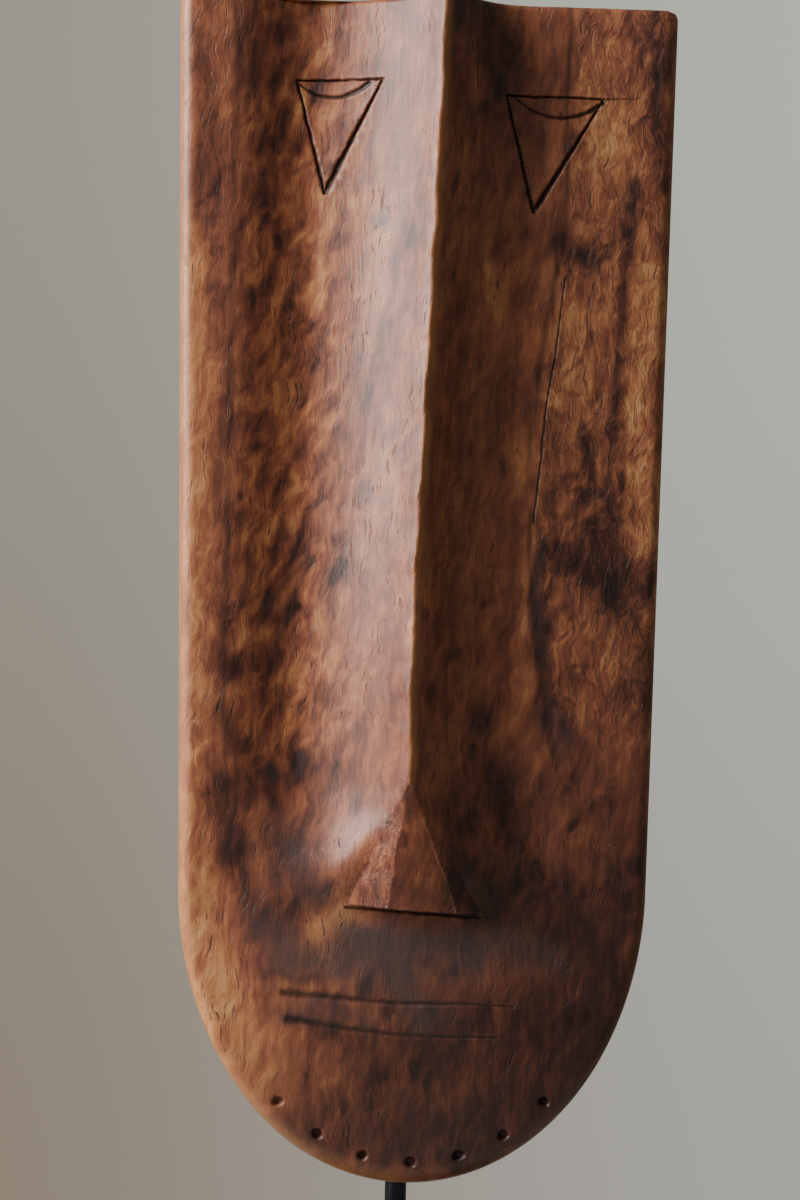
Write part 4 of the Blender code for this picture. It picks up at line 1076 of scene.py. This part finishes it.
def carved(bm, cutter):  # cut one closed form out of another
    meshes = []
    for form in (bm, cutter):
        bmesh.ops.recalc_face_normals(form, faces=form.faces)
        mesh = bpy.data.meshes.new("carving")
        form.to_mesh(mesh)
        form.free()
        meshes.append(mesh)
    body, tool = [bpy.data.objects.new("carving", mesh) for mesh in meshes]
    for item in (body, tool):
        bpy.context.scene.collection.objects.link(item)
    cut = body.modifiers.new("cut", "BOOLEAN")
    cut.operation = "DIFFERENCE"
    cut.solver = "EXACT"
    cut.object = tool
    result = bmesh.new()
    result.from_object(body, bpy.context.evaluated_depsgraph_get())
    bmesh.ops.remove_doubles(result, verts=result.verts, dist=0.000004)
    for item in (body, tool):
        bpy.data.objects.remove(item)
    for mesh in meshes:
        bpy.data.meshes.remove(mesh)
    return result


postForm = {"steps": 96, "endRounding": 0.0007}


def buildPost():
    form = postForm
    radius = (postHigh.x - postLow.x) / 2
    profile = [(0.0, postLow.z), (radius, postLow.z)]
    profile += [(radius, mix(postLow.z, postHigh.z, step / 10)) for step in range(1, 10)]
    profile += [(radius, postHigh.z), (0.0, postHigh.z)]
    bm = turned(profile, form["steps"])
    softenEdges(bm, form["endRounding"])
    place = middle("post")
    moved(bm, (place.x, place.y, 0.0))
    return pieceFromBmesh(bm, "standPost", "post", "swivelling_post", "blackened_steel")


socketForm = {
    "boreRadius": 0.00505,
    "boreDepth": 0.029,
    "hubRadius": 0.0115,
    "hubHeight": 0.026,
    "flangeHeight": 0.006,
    "spigotRadius": 0.006,
    "grooveDrop": 0.0052,  # turned ring below the rim
    "grooveDepth": 0.0004,
    "fillet": 0.0030,
    "edge": 0.0006,
    "clampDrop": 0.011,
    "clampHoleRadius": 0.0028,
    "clampHoleForward": 0.0125,  # middle of the drilled hole from the post's axis
    "steps": 96,
}


def buildSocket():
    form = socketForm
    low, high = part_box("post_socket")
    place = middle("post_socket")
    top, hub = high.z, form["hubRadius"]
    flangeTop = top - form["hubHeight"]
    flangeBottom = flangeTop - form["flangeHeight"]
    flangeRadius = (high.x - low.x) / 2
    groove = top - form["grooveDrop"]
    profile = [(0.0, top - form["boreDepth"]), (form["boreRadius"], top - form["boreDepth"])]
    profile += [(form["boreRadius"], top), (hub, top), (hub, groove + form["grooveDepth"])]
    profile += [(hub - form["grooveDepth"], groove), (hub, groove - form["grooveDepth"])]
    for step in range(7):
        angle = math.pi / 2 * step / 6
        radius = hub + form["fillet"] * (1.0 - math.cos(angle))
        profile.append((radius, flangeTop + form["fillet"] * (1.0 - math.sin(angle))))
    profile += [(flangeRadius, flangeTop), (flangeRadius, flangeBottom), (form["spigotRadius"], flangeBottom)]
    profile += [(form["spigotRadius"], low.z), (0.0, low.z)]
    bm = turned(profile, form["steps"])
    softenEdges(bm, form["edge"], 3, 50.0)
    moved(bm, (place.x, place.y, 0.0))
    hole = (place.x, place.y + form["clampHoleForward"], top - form["clampDrop"])
    bm = drilled(bm, hole, form["clampHoleRadius"], 48)
    return pieceFromBmesh(bm, "postSocket", "post_socket", "stand", "blackened_steel")


clampForm = {
    "headLength": 0.008,
    "knurls": 24,
    "knurlDepth": 0.0006,
    "shankRadius": 0.0025,
    "pitch": 0.0008,
    "threadDepth": 0.0003,
    "dishRadius": 0.0042,
    "dishDepth": 0.0007,
    "edge": 0.0008,
    "steps": 144,
}


def buildClamp():
    form = clampForm
    low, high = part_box("clamp_screw")
    place = middle("clamp_screw")
    radius = (high.x - low.x) / 2
    length = high.y - low.y
    headStart = length - form["headLength"]
    shank = form["shankRadius"]
    edge = form["edge"]
    turns = int(headStart / form["pitch"] * 8)
    profile = [(0.0, 0.0), (shank * 0.7, 0.0)]
    profile += [(shank, mix(edge, headStart, step / turns)) for step in range(turns + 1)]
    profile += [(radius - edge, headStart), (radius, headStart + edge)]
    profile += [(radius, mix(headStart + edge, length - edge, step / 6)) for step in range(1, 6)]
    profile += [(radius, length - edge), (radius - edge, length)]
    profile += [(form["dishRadius"] + 0.0006, length), (form["dishRadius"], length - form["dishDepth"])]
    profile += [(0.0, length - form["dishDepth"])]
    bm = turned(profile, form["steps"])
    for vertex in bm.verts:
        reach = math.hypot(vertex.co.x, vertex.co.y)
        angle = math.atan2(vertex.co.y, vertex.co.x)
        if reach > radius - 0.0009 and vertex.co.z > headStart:
            drop = form["knurlDepth"] * (0.5 - 0.5 * math.cos(form["knurls"] * angle)) ** 1.6
        elif abs(reach - shank) < 0.00002 and edge < vertex.co.z < headStart:
            turn = math.tau * vertex.co.z / form["pitch"] - angle
            drop = form["threadDepth"] * (0.5 + 0.5 * math.cos(turn))
        else:
            continue
        vertex.co.x *= 1.0 - drop / reach
        vertex.co.y *= 1.0 - drop / reach
    moved(bm, (place.x, low.y, place.z), "Y")
    return pieceFromBmesh(bm, "clampScrew", "clamp_screw", "clamp", "brass", 50.0)


footForm = {
    "taper": 0.0011,
    "taperHeight": 0.0014,
    "recessRadius": 0.0048,
    "recessDepth": 0.0007,
    "edge": 0.0004,
    "steps": 64,
}


def buildFoot(node, name):
    form = footForm
    low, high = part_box(node)
    place = middle(node)
    radius = (high.x - low.x) / 2
    profile = [(0.0, high.z), (radius, high.z)]
    profile += [(radius, form["taperHeight"]), (radius - form["taper"], low.z)]
    recess = low.z + form["recessDepth"]
    profile += [(form["recessRadius"], low.z), (form["recessRadius"] - 0.0007, recess), (0.0, recess)]
    bm = turned(profile, form["steps"])
    softenEdges(bm, form["edge"], 3, 20.0)
    moved(bm, (place.x, place.y, 0.0))
    return pieceFromBmesh(bm, name, node, "stand", "rubber")


plugForm = {
    "headHeight": 0.003,
    "seatGap": 0.0003,
    "spigotRadius": 0.00475,
    "dimple": 0.0011,
    "groove": 0.0003,
    "edge": 0.0007,
    "steps": 96,
}


def buildPlug():
    form = plugForm
    low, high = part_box("sleeve_plug")
    place = middle("sleeve_plug")
    radius = (high.x - low.x) / 2
    seat = high.z - form["headHeight"] + form["seatGap"]
    profile = [(0.0, high.z - form["dimple"]), (form["dimple"], high.z), (radius * 0.62, high.z)]
    profile += [(radius * 0.65, high.z - form["groove"]), (radius * 0.68, high.z), (radius, high.z)]
    profile += [(radius, seat), (form["spigotRadius"], seat), (form["spigotRadius"], low.z), (0.0, low.z)]
    bm = turned(profile, form["steps"])
    softenEdges(bm, form["edge"], 3, 60.0)
    moved(bm, (place.x, place.y, 0.0))
    return pieceFromBmesh(bm, "sleevePlug", "sleeve_plug", "hung_mask", "brass")


def blockFrom(node):  # a block as large as a node's box, around the origin
    low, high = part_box(node)
    bm = bmesh.new()
    bmesh.ops.create_cube(bm, size=1.0)
    bmesh.ops.scale(bm, vec=Vector(high) - Vector(low), verts=bm.verts)
    return bm


strapForm = {"endRadius": 0.006, "edge": 0.0005, "holeRadius": 0.0022}


def buildStrap(node, name, screws):
    form = strapForm
    bm = blockFrom(node)
    corners = []
    for edge in bm.edges:
        if abs((edge.verts[0].co - edge.verts[1].co).normalized().y) > 0.9:
            corners.append(edge)
    roundEdges(bm, corners, form["endRadius"], 10)
    softenEdges(bm, form["edge"], 3, 60.0)
    moved(bm, middle(node))
    for screw in screws:
        place = middle(screw)
        bm = drilled(bm, (place.x, middle(node).y, place.z), form["holeRadius"], 32)
    return pieceFromBmesh(bm, name, node, "hung_mask", "blackened_steel")


padForm = {"cuts": 9, "bulge": 0.00025, "fray": 0.00030}


def buildPad(node, name):
    form = padForm
    bm = blockFrom(node)
    size = Vector(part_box(node)[1]) - Vector(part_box(node)[0])
    softenEdges(bm, 0.0003, 2, 30.0)
    bmesh.ops.subdivide_edges(bm, edges=bm.edges, cuts=form["cuts"], use_grid_fill=True)
    for vertex in bm.verts:
        x, y, z = vertex.co
        inward = 0.5 + 0.5 * noise.noise(Vector((x * 900.0, y * 500.0, z * 900.0)))
        middleOut = 1.0 - min(1.0, abs(y) / (size.y / 2)) ** 2
        edge = clamp((max(abs(x) / size.x, abs(z) / size.z) - 0.46) / 0.04)
        pull = form["fray"] * inward * edge + form["bulge"] * (1.0 - middleOut) * edge
        vertex.co.x -= math.copysign(pull, x) if abs(x) / size.x > 0.4 else 0.0
        vertex.co.z -= math.copysign(pull, z) if abs(z) / size.z > 0.4 else 0.0
    moved(bm, middle(node))
    return pieceFromBmesh(bm, name, node, "hung_mask", "felt", 70.0)


screwForm = {
    "headHeight": 0.0024,
    "shankRadius": 0.0018,
    "point": 0.004,
    "slotWidth": 0.0009,
    "slotDepth": 0.0011,
    "steps": 64,
    "turns": {"lower_left": 18.0, "lower_right": 74.0, "upper_left": 121.0, "upper_right": 40.0},
}


def buildScrew(node, name, turnDegrees):
    form = screwForm
    low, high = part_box(node)
    place = middle(node)
    headRadius = (high.x - low.x) / 2
    length = high.y - low.y - form["headHeight"]
    profile = [(0.0, form["headHeight"])]
    for step in range(1, 11):
        angle = math.pi / 2 * step / 10
        profile.append((headRadius * math.sin(angle), form["headHeight"] * math.cos(angle)))
    profile += [(form["shankRadius"], 0.0), (form["shankRadius"], form["point"] - length), (0.0, -length)]
    bm = turned(profile, form["steps"])
    slot = bmesh.new()
    bmesh.ops.create_cube(slot, size=1.0)
    bmesh.ops.scale(slot, vec=(headRadius * 3, form["slotWidth"], form["slotDepth"] * 2), verts=slot.verts)
    turn = Matrix.Rotation(math.radians(turnDegrees), 4, "Z")
    lift = Matrix.Translation((0.0, 0.0, form["headHeight"]))
    bmesh.ops.transform(slot, matrix=lift @ turn, verts=slot.verts)
    bm = carved(bm, slot)
    moved(bm, (place.x, high.y - form["headHeight"], place.z), "Y")
    return pieceFromBmesh(bm, name, node, "hung_mask", "brass")


buildPost()
buildSocket()
buildClamp()
for end in ("front", "rear"):
    for side in ("left", "right"):
        buildFoot(end + "_" + side + "_foot", end + side.title() + "Foot")
print("stand made")

buildPlug()
for level in ("lower", "upper"):
    buildStrap(level + "_strap", level + "Strap", [level + "_left_screw", level + "_right_screw"])
    for side in ("left", "right"):
        corner = level + "_" + side
        buildPad(corner + "_pad", level + side.title() + "Pad")
        buildScrew(corner + "_screw", level + side.title() + "Screw", screwForm["turns"][corner])
print("hanger made")


# stage: floor, soft light and camera

stageSetup = {
    "floorRadius": 0.46,
    "floorSolid": 0.20,
    "keyAngle": 74.0,  # degrees to the left of straight ahead
    "keyHeight": 0.95,
    "keyPower": 38.5,
    "sideAngle": 56.0,
    "sidePower": 4.5,
    "roomLight": 0.25,
    "wallLevel": 1.15,
    "cameraDistance": 1.2,
    "viewHeight": 0.5072,  # height seen at the front edge plane
    "viewCentreX": -0.0088,
    "viewCentreZ": 0.2474,
    "azimuth": -5.0,
    "roll": 1.15,
    # painted light and shade on the wall: darker and warmer on the left and low down, lighter on the right
    "wallAcross": (-0.08, 0.26),  # where the wall changes, as directions from the camera
    "wallUp": (-0.22, 0.20),
    "wallLeft": ((137, 125, 109), (152, 148, 137)),  # low and high on the wall
    "wallRight": ((170, 168, 162), (187, 189, 179)),
    "roomTint": (204, 196, 184),
}


def makeFloor():  # a round of pale paper that fades away, so no edge or horizon shows
    bm = bmesh.new()
    bmesh.ops.create_circle(bm, cap_ends=True, radius=stageSetup["floorRadius"], segments=96)
    mesh = bpy.data.meshes.new("paleFloor")
    bm.to_mesh(mesh)
    bm.free()
    floor = bpy.data.objects.new("paleFloor", mesh)
    bpy.context.scene.collection.objects.link(floor)
    bench = Bench("palePaper")
    speck = bench.cloud(bench.coords, 60.0, 3.0, 0.6)
    distance = bench.add("ShaderNodeVectorMath", {"operation": "LENGTH"}, {0: bench.coords}, "Value")
    shown = bench.step(distance, stageSetup["floorRadius"], stageSetup["floorSolid"])
    colour = bench.blend(speck, tone(186, 185, 177), tone(193, 192, 184))
    floor.data.materials.append(bench.finish({"Base Color": colour, "Alpha": shown}, {"Roughness": 0.95}))


def makeLight(name, place, aim, size, power, colour):
    light = bpy.data.lights.new(name, "AREA")
    light.shape = "RECTANGLE"
    light.size, light.size_y = size
    light.energy = power
    light.color = colour
    lamp = bpy.data.objects.new(name, light)
    bpy.context.scene.collection.objects.link(lamp)
    lamp.location = place
    lamp.rotation_euler = (Vector(aim) - Vector(place)).to_track_quat("-Z", "Y").to_euler()


def makeWorld():  # the camera sees a pale wall with painted light and shade, darker and warmer on the left and low down, lighter on the right; the room itself gives little light
    world = bpy.data.worlds.new("paleRoom")
    bpy.context.scene.world = world
    world.use_nodes = True
    nodes, links = world.node_tree.nodes, world.node_tree.links
    direction = nodes.new("ShaderNodeTexCoord").outputs["Generated"]
    split = nodes.new("ShaderNodeSeparateXYZ")
    links.new(direction, split.inputs[0])

    def shareAlong(axis, low, high):
        node = nodes.new("ShaderNodeMapRange")
        node.interpolation_type = "SMOOTHSTEP"
        node.inputs["From Min"].default_value = low
        node.inputs["From Max"].default_value = high
        links.new(split.outputs[axis], node.inputs["Value"])
        return node.outputs[0]

    def blend(share, first, second):
        node = nodes.new("ShaderNodeMix")
        node.data_type = "RGBA"
        links.new(share, node.inputs[0])
        for socket, value in ((node.inputs[6], first), (node.inputs[7], second)):
            if isinstance(value, tuple):
                socket.default_value = value
            else:
                links.new(value, socket)
        return node.outputs[2]

    upward = shareAlong("Z", *stageSetup["wallUp"])
    sides = [blend(upward, *[tone(*tint) for tint in stageSetup[name]]) for name in ("wallLeft", "wallRight")]
    wall = blend(shareAlong("X", *stageSetup["wallAcross"]), *sides)
    seen = nodes.new("ShaderNodeLightPath").outputs["Is Camera Ray"]
    background = nodes["Background"]
    links.new(blend(seen, tone(*stageSetup["roomTint"]), wall), background.inputs["Color"])
    strength = nodes.new("ShaderNodeMapRange")
    strength.inputs["To Min"].default_value = stageSetup["roomLight"]
    strength.inputs["To Max"].default_value = stageSetup["wallLevel"]
    links.new(seen, strength.inputs["Value"])
    links.new(strength.outputs[0], background.inputs["Strength"])


def makeCamera():
    setup = stageSetup
    camera = bpy.data.objects.new("camera", bpy.data.cameras.new("camera"))
    bpy.context.scene.collection.objects.link(camera)
    camera.data.sensor_width = 36.0
    camera.data.lens = 18.0 * setup["cameraDistance"] / (setup["viewHeight"] / 2)
    aim = Vector((setup["viewCentreX"], maskHigh.y - maskForm["wallDepth"], maskLow.z + setup["viewCentreZ"]))
    angle = math.radians(setup["azimuth"])
    back = Vector((math.sin(angle), -math.cos(angle), 0.0))
    camera.location = aim + back * setup["cameraDistance"]
    facing = (-back).to_track_quat("-Z", "Y")
    roll = Matrix.Rotation(math.radians(setup["roll"]), 3, back).to_quaternion()
    camera.rotation_mode = "QUATERNION"
    camera.rotation_quaternion = roll @ facing
    bpy.context.scene.camera = camera


makeFloor()
aimPoint = (0.0, -0.03, maskLow.z + 0.27)


def placeAround(angle, distance, height):  # angle in degrees to the left of straight ahead
    turn = math.radians(angle)
    return (-distance * math.sin(turn), -distance * math.cos(turn), height)


keyPlace = placeAround(stageSetup["keyAngle"], 1.3, stageSetup["keyHeight"])
makeLight("window", keyPlace, aimPoint, (0.8, 1.2), stageSetup["keyPower"], (1.0, 0.97, 0.95))
sidePlace = placeAround(stageSetup["sideAngle"], 1.5, 0.95)
makeLight("sideWindow", sidePlace, aimPoint, (0.8, 1.0), stageSetup["sidePower"], (1.0, 0.96, 0.92))
makeWorld()
makeCamera()
print("stage set")
